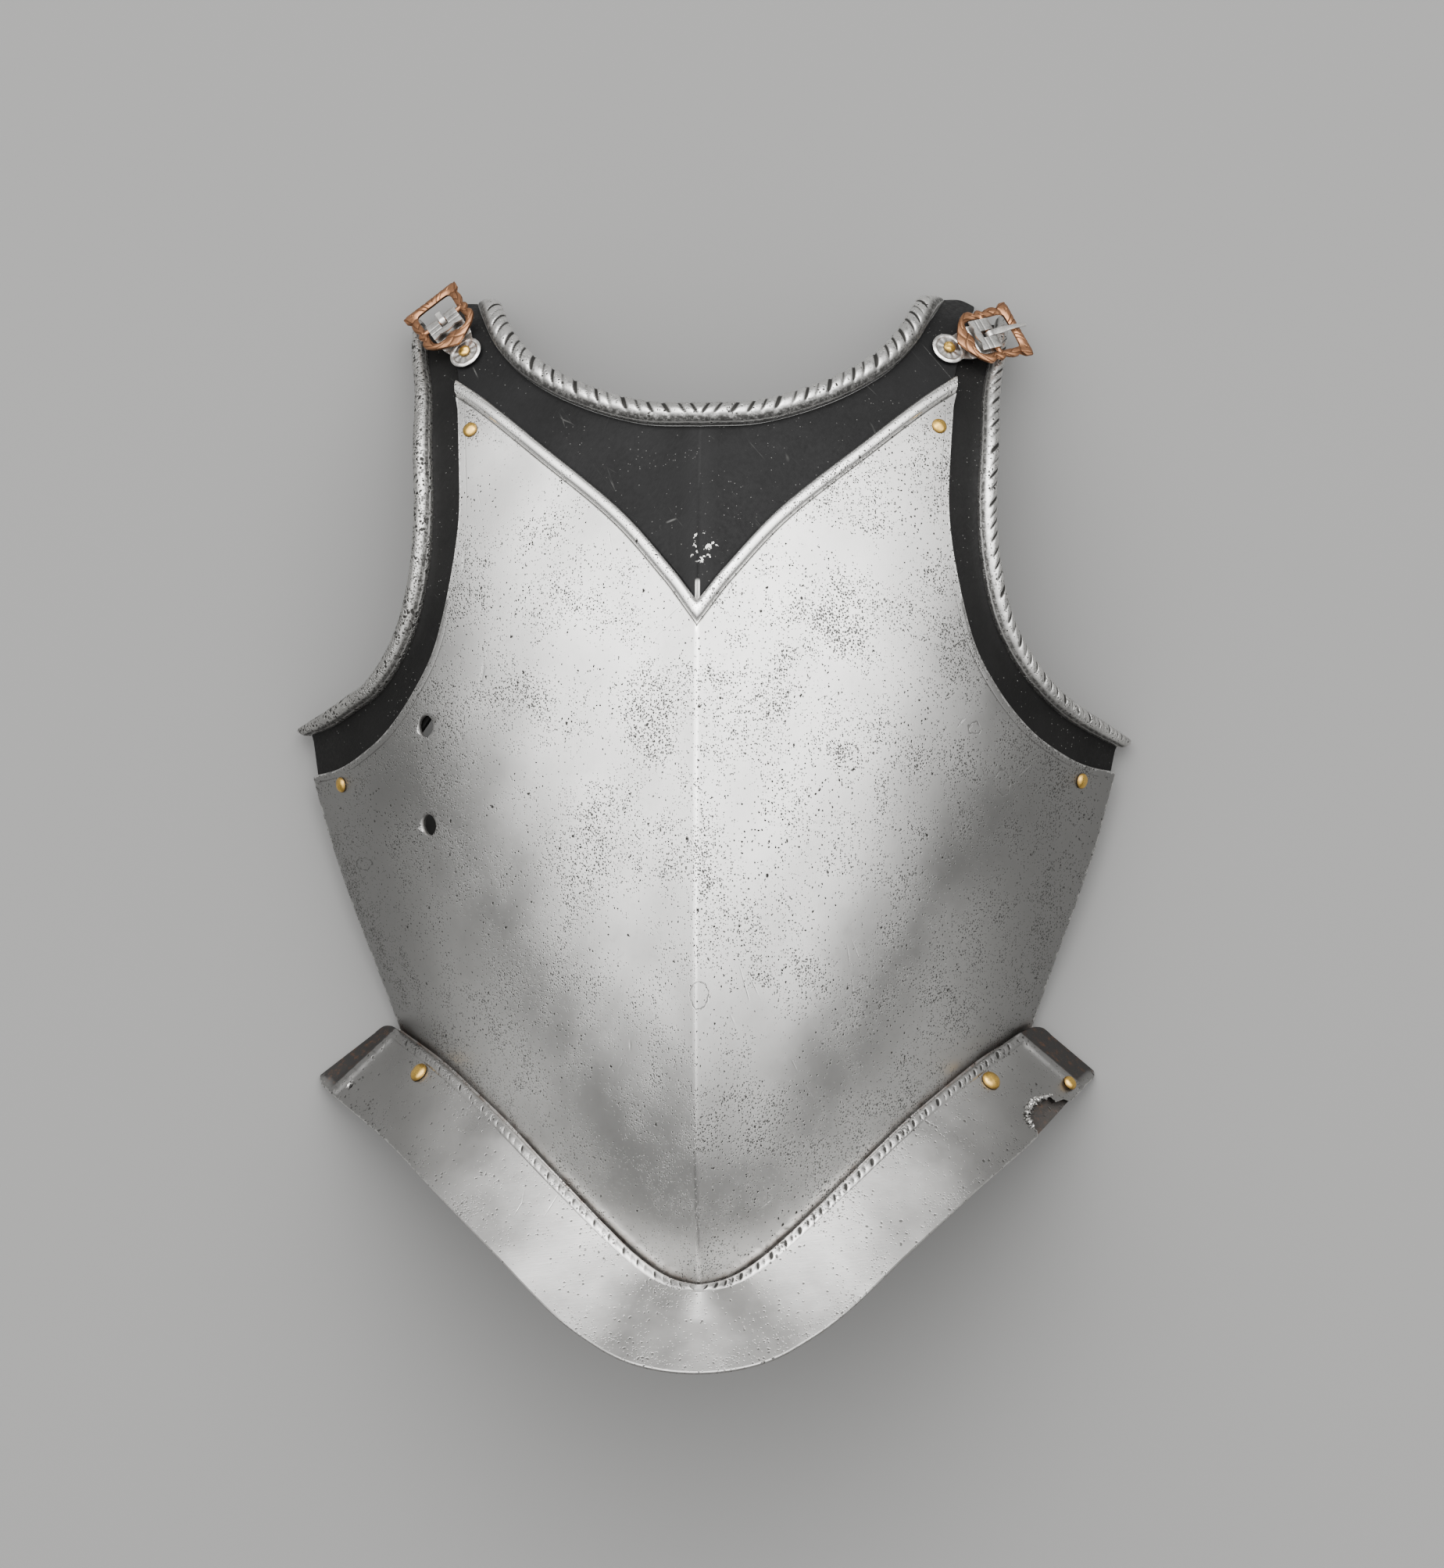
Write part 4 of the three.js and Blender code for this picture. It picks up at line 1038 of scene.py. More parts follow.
    def _rounded_middle(self, points: np.ndarray, middle: int) -> np.ndarray:
        """Rounds the fold at the middle, more so away from the roped edge.

        Args:
            points: Loops of the whole plate.
            middle: Number of loops of one half.

        Returns:
            The rounded loops.
        """
        reach = 40
        near = points[middle - 1 - 2 * reach:middle + 2 * reach]
        bell = np.exp(-(np.arange(-reach, reach + 1) / (0.45 * reach)) ** 2)
        smooth = np.apply_along_axis(lambda run: np.convolve(run, bell / bell.sum(), "valid"), 0, near)
        kept = points[middle - 1 - reach:middle + reach]
        fade = np.clip(1.0 - (np.abs(np.arange(-reach, reach + 1)) / reach) ** 2, 0.0, 1.0)[:, None, None]
        count = points.shape[1] // 2
        rows = np.clip((np.arange(count) - 0.5 * self.bead_rows) / self.bead_rows, 0.0, 1.0)
        rows = np.concatenate([rows, rows[::-1]])[None, :, None]
        points = points.copy()
        change = (smooth[:len(kept)] - kept) * fade[:len(kept)] * rows
        points[middle - 1 - reach:middle + reach] = kept + change
        return points

    def torn_cutter(self) -> bpy.types.Object:
        """Closed prism over the torn-off corner."""
        outline = np.array(self.torn, float)
        floor_and_roof = [np.column_stack([outline, np.full(len(outline), z)]) for z in (-20.0, 90.0)]
        work = bmesh.new()
        rings = [[work.verts.new(LAY(point)) for point in ring] for ring in floor_and_roof]
        for ring in rings:
            work.faces.new(ring)
        for k in range(len(outline)):
            n = (k + 1) % len(outline)
            work.faces.new([rings[0][k], rings[0][n], rings[1][n], rings[1][k]])
        bmesh.ops.recalc_face_normals(work, faces=work.faces)
        mesh = bpy.data.meshes.new("torn_corner")
        work.to_mesh(mesh)
        work.free()
        cutter = bpy.data.objects.new("torn_corner", mesh)
        bpy.context.collection.objects.link(cutter)
        return cutter

    def build(self, finish: bpy.types.Material) -> bpy.types.Object:
        """Builds the whole waist plate."""
        right, left = self.half(Side.RIGHT), self.half(Side.LEFT)
        points = np.concatenate([mirrored(right.points, Side.RIGHT)[::-1], left.points[1:]])
        points = self._rounded_middle(points, len(left.points))
        marks = {key: np.concatenate([right.marks[key][::-1], left.marks[key][1:]]) for key in right.marks}
        piece = build_piece("waist_plate_body", [Skin(points, marks, rungs=True)], [finish])
        hole = rod("end_drill", self.hole_radius, waist_seat(Side.RIGHT, 126, 0.8))
        cut_away(piece, [self.torn_cutter(), hole])
        return piece


@dataclass
class TornLip:
    """The bright curled edge where the corner tore away."""

    route: tuple[tuple[float, float], ...] = (
        (138.6, 112.6), (135.4, 111.8), (131.8, 110.6), (129.6, 108.2), (128.4, 105.2), (129.6, 102.4),
        (131.8, 99.4),
    )
    radius: float = 1.6
    steps: int = 70
    sides: int = 12

    def build(self, finish: bpy.types.Material) -> bpy.types.Object:
        """Builds the lip on the waist plate's face."""
        place = Path(self.route)(np.linspace(0, 1, self.steps))
        middle = self._on_face(place)
        along = unit(np.gradient(middle, axis=0))
        up = np.broadcast_to(np.array([0.62, -0.5, 0.6]), middle.shape)
        out = unit(np.cross(up, along))
        up = unit(np.cross(along, out))
        k = np.arange(self.steps)
        jag = 0.75 + 0.3 * np.sin(1.9 * k) * np.sin(0.37 * k + 1) + 0.18 * np.sin(0.9 * k)
        ends = np.sin(np.pi * (k + 0.5) / self.steps) ** 0.4
        turn = np.arange(self.sides) / self.sides
        lobes = 1 + 0.25 * np.sin(6 * np.pi * turn + 0.8 * k[:, None])
        radius = (self.radius * jag * ends)[:, None] * lobes
        grid, _ = roll_grid(middle + up * 0.5, out, up, radius, self.sides)
        return build_piece("torn_lip", [capped(Skin(grid))], [finish], sharp_deg=25)

    def _on_face(self, place: np.ndarray) -> np.ndarray:
        """Points of the waist plate's face at the places [x, y] of the upright frame."""
        waist = Waist(WAIST_ENDS[Side.LEFT])
        x, down = np.meshgrid(np.linspace(90, 131, 83), np.linspace(0, 1, 61), indexing="ij")
        root, run, face, reach = waist.station(x[:, 0])
        grid = root[:, None] + run[:, None] * (reach[:, None] * down)[..., None]
        grid = (grid + face[:, None] * (WAIST_GAP + LAME)).reshape(-1, 3)
        far = ((grid[None, :, :2] - place[:, None]) ** 2).sum(axis=2)
        nearest = grid[np.argmin(far, axis=1)]
        evened = np.convolve(np.pad(nearest[:, 2], 3, "edge"), np.full(7, 1 / 7), "valid")
        return np.column_stack([place, evened])


@dataclass
class WaistPatch:
    """The thin repair plate behind the torn corner."""

    first: float = 104.0
    last: float = 123.0
    from_share: float = 0.54
    to_share: float = 0.985
    thick: float = 1.2
    gap: float = 0.6

    def build(self, finish: bpy.types.Material) -> bpy.types.Object:
        """Builds the patch."""
        x = np.linspace(self.first, self.last, 40)
        root, run, face, reach = Waist(WAIST_ENDS[Side.LEFT]).station(x)
        share = np.linspace(self.from_share, self.to_share, 30)
        base = root[:, None] + run[:, None] * (reach[:, None] * share)[..., None]
        dent = 0.22 * np.sin(x / 2.1)[:, None] * np.sin(share * 31)[None]
        outer = base + face[:, None] * (WAIST_GAP - self.gap - 0.22 + dent)[..., None]
        inner = base + face[:, None] * (WAIST_GAP - self.gap - self.thick)
        skin = Skin(np.concatenate([outer, inner[:, ::-1]], axis=1), rungs=True)
        return build_piece("waist_patch_body", [skin], [finish])


# ---------------------------------------------------------------- fasteners
@dataclass
class Rivet:
    """A domed rivet with its shank and tail.

    Attributes:
        name: Piece name.
        node: CAD node that it stands for.
        seat: Where it stands.
        radius: Radius of its head.
        height: Height of its head.
        grip: Thickness that it holds.
        flats: Depth of the hammer's flats on the head.
    """

    name: str
    node: str
    seat: Seat
    radius: float
    height: float
    grip: float
    flats: float = 0.12
    shank: float = 1.5
    tail_radius: float = 2.5
    tail: float = 0.9
    sides: int = 48

    def build(self, finish: bpy.types.Material) -> bpy.types.Object:
        """Builds the rivet."""
        bottom = -self.grip - GAP
        dome = [(self.radius * math.cos(a), GAP + self.height * math.sin(a) ** 0.9)
                for a in np.linspace(0.12, math.pi / 2, 12)]
        profile = [
            (0, bottom - self.tail), (self.tail_radius * 0.9, bottom - self.tail),
            (self.tail_radius, bottom - 0.4), (self.tail_radius, bottom), (self.shank, bottom),
            (self.shank, GAP), (self.radius * 0.96, GAP), (self.radius, GAP + 0.12), *dome,
        ]
        grid = turned(profile, self.sides)
        x, y = grid[..., 0], grid[..., 1]
        turn = self.seat.at.sum()
        wave = np.sin(1.3 * x + turn) * np.sin(1.1 * y + 0.7 * turn) - 0.5
        head = (grid[..., 2] > GAP + 0.3) * 1.0
        grid[..., 2] += self.flats * np.minimum(wave, 0.0) * head
        rim = np.clip((np.hypot(x, y) / self.radius - 0.8) / 0.2, 0.0, 1.0) * (grid[..., 2] > bottom + 0.5)
        skin = Skin(grid, {"rim": rim})
        return build_piece(self.name, [skin], [finish], lambda points: LAY(self.seat(points)), 50)


# ---------------------------------------------------------------- strap buckles
def closed_curve(half: Sequence[Sequence[float]], count: int) -> np.ndarray:
    """Evenly spaced points on a smooth closed outline with mirror halves.

    Args:
        half: Points [x, y] of one half, the first and last on the axis.
        count: Number of points.

    Returns:
        Points shaped (count, 2), from the first point round to it again.
    """
    inside = [(x, -y) for x, y in reversed(half) if y > 0]
    whole = [*half, *inside]
    lapped = np.array([*whole[-3:], *whole, *whole[:4]], float)
    path = Path(lapped)
    first, last = path.shares[3], path.shares[3 + len(whole)]
    fine = path(np.linspace(first, last, count * 6 + 1))
    run = running_length(fine)
    at = np.linspace(0, run[-1], count, endpoint=False)
    return np.column_stack([np.interp(at, run, fine[:, k]) for k in range(2)])


@dataclass
class Buckle:
    """One strap buckle: washer, folded hasp, carved double-loop frame and tongue.

    The frame's own x runs from its point to its straight bar, with the middle bar at the origin.
    """

    side: Side
    turn_deg: float
    tongue_reach: float
    tongue_bend: float = 0.0
    eye_hole: float = 1.85
    offset: float = 3.2
    pivot: float = 16.5
    pivot_radius: float = 1.15
    bar_length: float = 19.0
    thick: float = 2.4
    strip: float = 0.8
    washer_radius: float = 7.0
    washer_rim: float = 1.2
    lift_deg: float = 1.0
    crank: float = 2.2
    hasp_width: float = 14.2
    hasp_upper: float = 8.2
    hasp_knee: float = 11.2
    eye_radius: float = 5.6
    slot_length: float = 7.4
    slot_width: float = 3.3
    tongue_width: float = 2.6
    outline: tuple[tuple[float, float], ...] = (
        (0, 0), (0.9, 2.0), (2.6, 5.0), (4.0, 7.2), (5.6, 9.2), (7.6, 11.0), (9.6, 12.2), (11.2, 12.5),
        (12.6, 12.0), (13.8, 11.0), (14.8, 11.7), (16.0, 12.3), (17.2, 11.9), (18.2, 11.1), (20.2, 11.8),
        (22.4, 12.2),
        (24.4, 11.9), (26.0, 11.2), (27.0, 12.4), (27.8, 13.0), (29.4, 13.1), (31.0, 13.0), (31.3, 8.0),
        (31.2, 3.0), (31.2, 0),
    )
    opening: tuple[tuple[float, float], ...] = (
        (8.0, 0), (7.4, 1.6), (7.0, 3.0), (6.7, 4.6), (6.9, 6.0), (7.7, 7.5), (9.6, 8.3), (11.8, 8.5),
        (14.0, 8.3), (17.0, 8.2), (20.0, 8.3), (23.0, 8.4), (25.6, 8.3), (27.0, 7.6), (27.4, 5.4), (27.4, 0),
    )

    def __post_init__(self) -> None:
        """Works out the places that follow from the sizes."""
        seat = chest_seat(self.side, *BUCKLE_AT, -PANEL_SINK)
        ahead = np.array([math.cos(math.radians(self.turn_deg)), math.sin(math.radians(self.turn_deg)), 0.0])
        ahead[2] = -(ahead @ seat.normal) / seat.normal[2]
        self.seat = Seat(seat.at, seat.normal, tuple(ahead))
        self.inner = self.pivot_radius + GAP
        self.outer = self.inner + self.strip
        self.washer_lift = 2 * GAP + self.strip
        self.hinge = np.array([self.offset + self.pivot, 0.0, self.outer + GAP + self.crank])
        lift = math.radians(self.lift_deg)
        self.tilt = np.array([
            [math.cos(lift), 0, math.sin(lift)], [0, 1, 0], [-math.sin(lift), 0, math.cos(lift)],
        ])

    def rivet(self) -> Rivet:
        """The rivet that the hasp swivels on."""
        lift = self.washer_lift + self.washer_rim
        seat = Seat(self.seat.at + self.seat.normal * lift, self.seat.normal, self.seat.along)
        name = f"buckle_rivet_{self.side.label}"
        return Rivet(f"{name}_body", name, seat, radius=2.6, height=1.6, grip=4.9 + lift, flats=0.3)

    def washer(self) -> Skin:
        """The dished washer under the rivet."""
        hole, rim = self.eye_hole, self.washer_radius
        profile = [
            (hole, 0), (rim - 0.2, 0), (rim, 0.15), (rim, 0.55), (rim - 0.5, 1.05),
            (rim - 1.0, self.washer_rim), (rim - 1.5, 1.1), (rim - 1.9, 0.72),
            (hole + 0.6, 0.7), (hole + 0.2, 0.8), (hole, 0.7), (hole, 0),
        ]
        grid = turned(profile, 72)
        wave = 0.07 * np.sin(np.arctan2(grid[..., 1], grid[..., 0]) * 9) * (grid[..., 2] > 0.3)
        grid[..., 2] += wave
        grid[..., 2] += self.washer_lift
        edge = np.clip((np.hypot(grid[..., 0], grid[..., 1]) - rim + 1.6) / 1.0, 0.0, 1.0)
        return Skin(grid, {"bright": edge})

    def frame_ring(self) -> Skin:
        """The carved ring of the frame, in its own place."""
        count, across = 420, 15
        outside, inside = closed_curve(self.outline, count), closed_curve(self.opening, count)
        share = np.arange(count) / count
        from_bar = np.abs(share - 0.5) * 2
        u = np.linspace(0, 1, across)
        plan = outside[:, None] * (1 - u)[None, :, None] + inside[:, None] * u[None, :, None]
        dome = 1 - np.abs(2 * u - 1) ** 2.6
        crease = 0.32 * (1 - np.abs(2 * u - 1) * 1.4)
        leaf = np.abs(((from_bar * 9.0)[:, None] + 0.9 * np.abs(2 * u - 1)[None]) % 1.0 - 0.5) * 2
        cut = bump(leaf - 1.0, 0.2) * (from_bar > 0.2)[:, None]
        bar_cut = bump((from_bar[:, None] * 40 + 0.6 * (2 * u - 1)[None]) % 2.0 - 1.0, 0.2)
        cut = np.maximum(cut, bar_cut * (from_bar < 0.15)[:, None] * (from_bar > 0.02)[:, None])
        half = self.thick / 2
        top = half * (0.42 + 0.5 * dome)[None] + np.maximum(crease, 0)[None] * 0.5 - 0.34 * cut
        top = np.minimum(top, half)
        bottom = np.broadcast_to(-half * (0.45 + 0.5 * dome), top.shape)
        upper = np.concatenate([plan, top[..., None]], -1)
        lower = np.concatenate([plan, bottom[..., None]], -1)
        grid = np.concatenate([upper, lower[:, ::-1]], axis=1)
        grid[..., 0] -= self.pivot
        marks = {"nick": np.concatenate([cut, np.zeros_like(cut)], axis=1)}
        return Skin(grid, marks, wheel=True)

    def middle_bar(self) -> Skin:
        """The round bar that the hasp and the tongue turn on."""
        at = np.linspace(-self.bar_length / 2, self.bar_length / 2, 24)
        grid = turned([(0, at[0]), *[(self.pivot_radius, y) for y in at], (0, at[-1])], 24)
        return Skin(grid[..., [0, 2, 1]])

    def place(self, points: np.ndarray) -> np.ndarray:
        """Points of the buckle in the part's own frame."""
        return LAY(self.seat(points))

    def hinged(self, points: np.ndarray) -> np.ndarray:
        """Points about the bar in the part's own frame."""
        return self.place(points + self.hinge)

    def tilted(self, points: np.ndarray) -> np.ndarray:
        """Points that turn with the frame, in the part's own frame."""
        return self.place(points @ self.tilt.T + self.hinge)

    def hasp_skin(self) -> Skin:
        """The folded strip from its lobed end round the bar to the eye under the rivet."""
        mid = (self.inner + self.outer) / 2
        bend = np.linspace(math.pi / 2, -math.pi / 2, 18)
        end = -(self.pivot + self.offset) - self.eye_radius
        low = -mid - self.crank
        side = [(-self.hasp_upper, mid), (-self.hasp_upper * 0.55, mid + 0.12), (-1.2, mid + 0.05)]
        side += [(mid * math.cos(a), mid * math.sin(a)) for a in bend]
        side += [(-self.hasp_upper * 0.5, -mid), (-self.hasp_upper + 1, -mid)]
        side += [(-self.hasp_knee, low), (end, low)]
        rough = np.array(side, float)
        run = running_length(rough)
        at = np.concatenate([np.linspace(0, run[-2], 90), np.linspace(run[-2], run[-1], 50)[1:]])
        centre = np.column_stack([np.interp(at, run, rough[:, k]) for k in range(2)])
        slope = unit(np.gradient(centre, axis=0))
        normal = np.stack([-slope[:, 1], slope[:, 0]], -1)
        if normal[0, 1] < 0:
            normal = -normal
        width = np.full(len(at), self.hasp_width / 2)
        reach_x = centre[:, 0] + self.pivot + self.offset
        eye = np.sqrt(np.maximum(self.eye_radius**2 - reach_x**2, 0.02))
        on_eye = (centre[:, 1] < low + 0.3) & (centre[:, 0] < -self.hasp_knee)
        taper = np.clip((-self.hasp_knee + 1.5 - centre[:, 0]) / 5.0, 0.0, 1.0)
        width = np.where(centre[:, 1] < 0, width * (1 - taper) + self.eye_radius * taper, width)
        width = np.where(on_eye & (reach_x < 0), eye, width)
        v = np.linspace(-1, 1, 33)
        across = v[None] * width[:, None]
        from_end = np.clip(at / 2.6, 0.0, 1.0)[:, None]
        lobes = (1 - from_end) * (0.9 * np.abs(np.cos(np.pi * v)) - 0.9)[None]
        half = self.strip / 2 * (1 - 0.35 * np.abs(v) ** 8)[None]
        crease = 0.1 * bump(at - 3.0, 0.35)[:, None] + 0.1 * bump(at - 5.4, 0.35)[:, None]
        layers = []
        for sign in (1, -1):
            lift = sign * (half - (crease if sign > 0 else 0))
            x = centre[:, :1] + normal[:, :1] * lift - lobes
            z = centre[:, 1:] + normal[:, 1:] * lift
            layers.append(np.stack([x, across, z], -1))
        edge = np.concatenate([np.broadcast_to(np.abs(v) ** 6, across.shape)] * 2, axis=1)
        nick = np.concatenate([crease * 8 + np.zeros_like(across), np.zeros_like(across)], axis=1)
        grid = np.concatenate([layers[0], layers[1][:, ::-1]], axis=1)
        return Skin(grid, {"bright": edge, "nick": nick}, rungs=True)

    def hasp_piece(self, finish: bpy.types.Material) -> bpy.types.Object:
        """Builds the hasp with its slot and its eye."""
        hinged = self.hinged
        piece = build_piece(f"buckle_hasp_{self.side.label}_folded", [self.hasp_skin()], [finish], hinged, 35)
        far = self.outer + 0.1
        x = np.array([far - self.slot_length, far, far, far - self.slot_length])
        y = np.array([-1, -1, 1, 1]) * self.slot_width / 2
        loops = [np.column_stack([x, y, np.full(4, z)]) for z in (-2 * self.outer, 0.0, 2 * self.outer)]
        slot = build_piece("slot_cutter", [capped(Skin(np.stack(loops)))], place=hinged)
        centre = -(self.pivot + self.offset)
        eye = turned([(0, -9), (self.eye_hole, -9), (self.eye_hole, 3), (0, 3)], 40)
        eye = eye + np.array([centre, 0, 0])
        cut_away(piece, [slot, build_piece("eye_cutter", [Skin(eye)], place=hinged)])
        return piece

    def tongue_skin(self) -> Skin:
        """The tongue: an eye rolled round the bar and a tapering blade."""
        mid = (self.inner + self.outer) / 2
        rest = self.thick / 2 + GAP + 0.15 + 0.5
        rolled = 30
        around = np.linspace(math.pi * 1.9, math.pi * 0.45, rolled)
        eye = [(mid * math.cos(a), mid * math.sin(a)) for a in around]
        start, tip = self.outer + 0.9, self.tongue_reach - 0.15
        blade = [(x, rest + self.tongue_bend * math.sin(math.pi * (x - start) / max(tip - start, 1e-3)))
                 for x in np.linspace(start, tip, 26)]
        centre = np.array([*eye, *blade])
        slope = unit(np.gradient(centre, axis=0))
        normal = np.stack([-slope[:, 1], slope[:, 0]], -1)
        run = running_length(centre)
        on_blade = np.arange(len(centre)) >= rolled
        along = np.clip((centre[:, 0] - start) / max(tip - start, 1e-3), 0.0, 1.0) * on_blade
        width = self.tongue_width / 2 * (1 - 0.42 * along)
        square = bump(centre[:, 0] - start - 1.4, 1.6) * on_blade
        width = width + 0.25 * square
        thick = self.strip / 2 * (1 + 0.25 * square)
        angle = 2 * np.pi * np.arange(16) / 16
        box_x = np.sign(np.cos(angle)) * np.abs(np.cos(angle)) ** 0.45
        box_y = np.sign(np.sin(angle)) * np.abs(np.sin(angle)) ** 0.45
        y = width[:, None] * box_x[None]
        lift = thick[:, None] * box_y[None]
        x = centre[:, :1] + normal[:, :1] * lift
        z = centre[:, 1:] + normal[:, 1:] * lift
        bright_marks = np.broadcast_to(np.clip(run / run[-1], 0, 1)[:, None] ** 2, x.shape)
        return capped(Skin(np.stack([x, y, z], -1), {"bright": bright_marks}))

    def build(self, alloy: bpy.types.Material, steel: bpy.types.Material) -> dict[str, bpy.types.Object]:
        """Builds the washer, the hasp, the frame and the tongue.

        Args:
            alloy: Material of the frame.
            steel: Material of the other pieces.

        Returns:
            The pieces by the word that ends their body's name.
        """
        label = self.side.label
        ring, tongue = [self.frame_ring(), self.middle_bar()], [self.tongue_skin()]
        return {
            "washer": build_piece(f"buckle_washer_{label}_dished", [self.washer()], [steel], self.place, 35),
            "hasp": self.hasp_piece(steel),
            "frame": build_piece(f"buckle_frame_{label}_carved", ring, [alloy], self.tilted, 30),
            "tongue": build_piece(f"buckle_tongue_{label}_blade", tongue, [steel], self.tilted, 45),
        }



# ---------------------------------------------------------------- shader tools
Socket = bpy.types.NodeSocket
Value = float | Socket
Colour = tuple[float, float, float]
FLOAT = "NodeSocketFloat"
PLACE = ("Place", "NodeSocketVector", 0.0)


class Tree:
    """Short way to add and join nodes in one node tree."""

    def __init__(self, tree: bpy.types.NodeTree) -> None:
        """Keeps the tree."""
        self.tree = tree

    def add(self, kind: str, settings: dict[str, object] | None = None,
            inputs: dict[str | int, object] | None = None) -> bpy.types.Node:
        """Adds a node.

        Args:
            kind: Blender's name of the node type.
            settings: Properties of the node.
            inputs: Values or sockets for its inputs.

        Returns:
            The node.
        """
        node = self.tree.nodes.new(kind)
        for key, value in (settings or {}).items():
            setattr(node, key, value)
        for key, value in (inputs or {}).items():
            self.feed(node.inputs[key], value)
        return node

    def feed(self, socket: Socket, value: object) -> None:
        """Links a socket to another, or sets its own value."""
        if isinstance(value, bpy.types.NodeSocket):
            self.tree.links.new(value, socket)
        elif isinstance(value, tuple) and len(value) == 3 and socket.type == "RGBA":
            socket.default_value = (*value, 1.0)
        else:
            socket.default_value = value

    def math(self, operation: str, first: Value, second: Value = 0.0, third: Value = 0.0) -> Socket:
        """Result of a Math node."""
        inputs = {0: first, 1: second, 2: third}
        return self.add("ShaderNodeMath", {"operation": operation}, inputs).outputs[0]

    def times(self, first: Value, second: Value) -> Socket:
        """Product of two values."""
        return self.math("MULTIPLY", first, second)

    def plus(self, first: Value, second: Value) -> Socket:
        """Sum of two values."""
        return self.math("ADD", first, second)

    def minus(self, first: Value, second: Value) -> Socket:
        """First value less the second."""
        return self.math("SUBTRACT", first, second)

    def over(self, value: Value) -> Socket:
        """One divided by a value."""
        return self.math("DIVIDE", 1.0, value)

    def vector(self, operation: str, first: object, second: object = (0.0, 0.0, 0.0)) -> bpy.types.Node:
        """A Vector Math node."""
        return self.add("ShaderNodeVectorMath", {"operation": operation}, {0: first, 1: second})

    def away(self, first: object, second: object) -> Socket:
        """Distance between two points."""
        gap = self.vector("SUBTRACT", first, second).outputs[0]
        return self.vector("LENGTH", gap).outputs["Value"]

    def spun(self, place: Socket, angle: Value) -> Socket:
        """Places turned about the z axis."""
        inputs = {"Vector": place, "Angle": angle}
        return self.add("ShaderNodeVectorRotate", {"rotation_type": "Z_AXIS"}, inputs).outputs[0]

    def across(self, place: Socket) -> Socket:
        """Distance to the left or right of the middle."""
        return self.math("ABSOLUTE", self.add("ShaderNodeSeparateXYZ", inputs={0: place}).outputs[0])

    def step(self, value: Value, low: Value, high: Value, to_low: float = 0.0,
             to_high: float = 1.0) -> Socket:
        """Smooth step of a value from low to high."""
        inputs = {"Value": value, "From Min": low, "From Max": high, "To Min": to_low, "To Max": to_high}
        return self.add("ShaderNodeMapRange", {"interpolation_type": "SMOOTHSTEP"}, inputs).outputs[0]

    def drop(self, value: Value, low: Value, high: Value) -> Socket:
        """Smooth fall from one to nothing between low and high."""
        return self.step(value, low, high, 1.0, 0.0)

    def mix(self, share: Value, first: object, second: object) -> Socket:
        """Mix of two colours."""
        node = self.add("ShaderNodeMix", {"data_type": "RGBA"}, {0: share, 6: first, 7: second})
        return node.outputs[2]

    def noise(self, place: Socket, scale: Value, detail: float = 3.0, rough: float = 0.55) -> Socket:
        """Value of a noise texture."""
        inputs = {"Vector": place, "Scale": scale, "Detail": detail, "Roughness": rough}
        return self.add("ShaderNodeTexNoise", inputs=inputs).outputs[0]

    def cells(self, place: Socket, scale: Value, feature: str = "F1") -> bpy.types.Node:
        """A Voronoi texture."""
        return self.add("ShaderNodeTexVoronoi", {"feature": feature}, {"Vector": place, "Scale": scale})

    def mark(self, name: str) -> Socket:
        """Value that the mesh carries under a name."""
        return self.add("ShaderNodeAttribute", {"attribute_name": name}).outputs["Fac"]

    def most(self, *values: Value) -> Socket:
        """The greatest of several values."""
        best = values[0]
        for value in values[1:]:
            best = self.math("MAXIMUM", best, value)
        return best


class Effect:
    """A surface effect as a node group, made once and placed in many materials."""

    made: dict[str, bpy.types.NodeTree] = {}
    name = "effect"
    inputs: tuple[tuple[str, str, float], ...] = ()
    outputs: tuple[str, ...] = ("Mask",)

    def wire(self, tree: Tree, given: dict[str, Socket]) -> tuple[Socket, ...]:
        """Fills the group and gives the sockets for its outputs."""
        raise NotImplementedError

    def group(self) -> bpy.types.NodeTree:
        """The node group, made on first use."""
        if self.name in Effect.made:
            return Effect.made[self.name]
        tree = bpy.data.node_groups.new(self.name, "ShaderNodeTree")
        for title, kind, value in self.inputs:
            socket = tree.interface.new_socket(name=title, in_out="INPUT", socket_type=kind)
            if kind == FLOAT:
                socket.default_value = value
        for title in self.outputs:
            tree.interface.new_socket(name=title, in_out="OUTPUT", socket_type=FLOAT)
        given, result = tree.nodes.new("NodeGroupInput"), tree.nodes.new("NodeGroupOutput")
        results = self.wire(Tree(tree), {title: given.outputs[title] for title, _, _ in self.inputs})
        for title, value in zip(self.outputs, results):
            tree.links.new(value, result.inputs[title])
        Effect.made[self.name] = tree
        return tree

    def place(self, tree: Tree, *values: object) -> Sequence[Socket]:
        """Adds the group to a material's tree.

        Args:
            tree: The material's tree.
            values: Values or sockets in the order of the inputs.

        Returns:
            The group's outputs.
        """
        node = tree.add("ShaderNodeGroup", {"node_tree": self.group()}, dict(enumerate(values)))
        return node.outputs


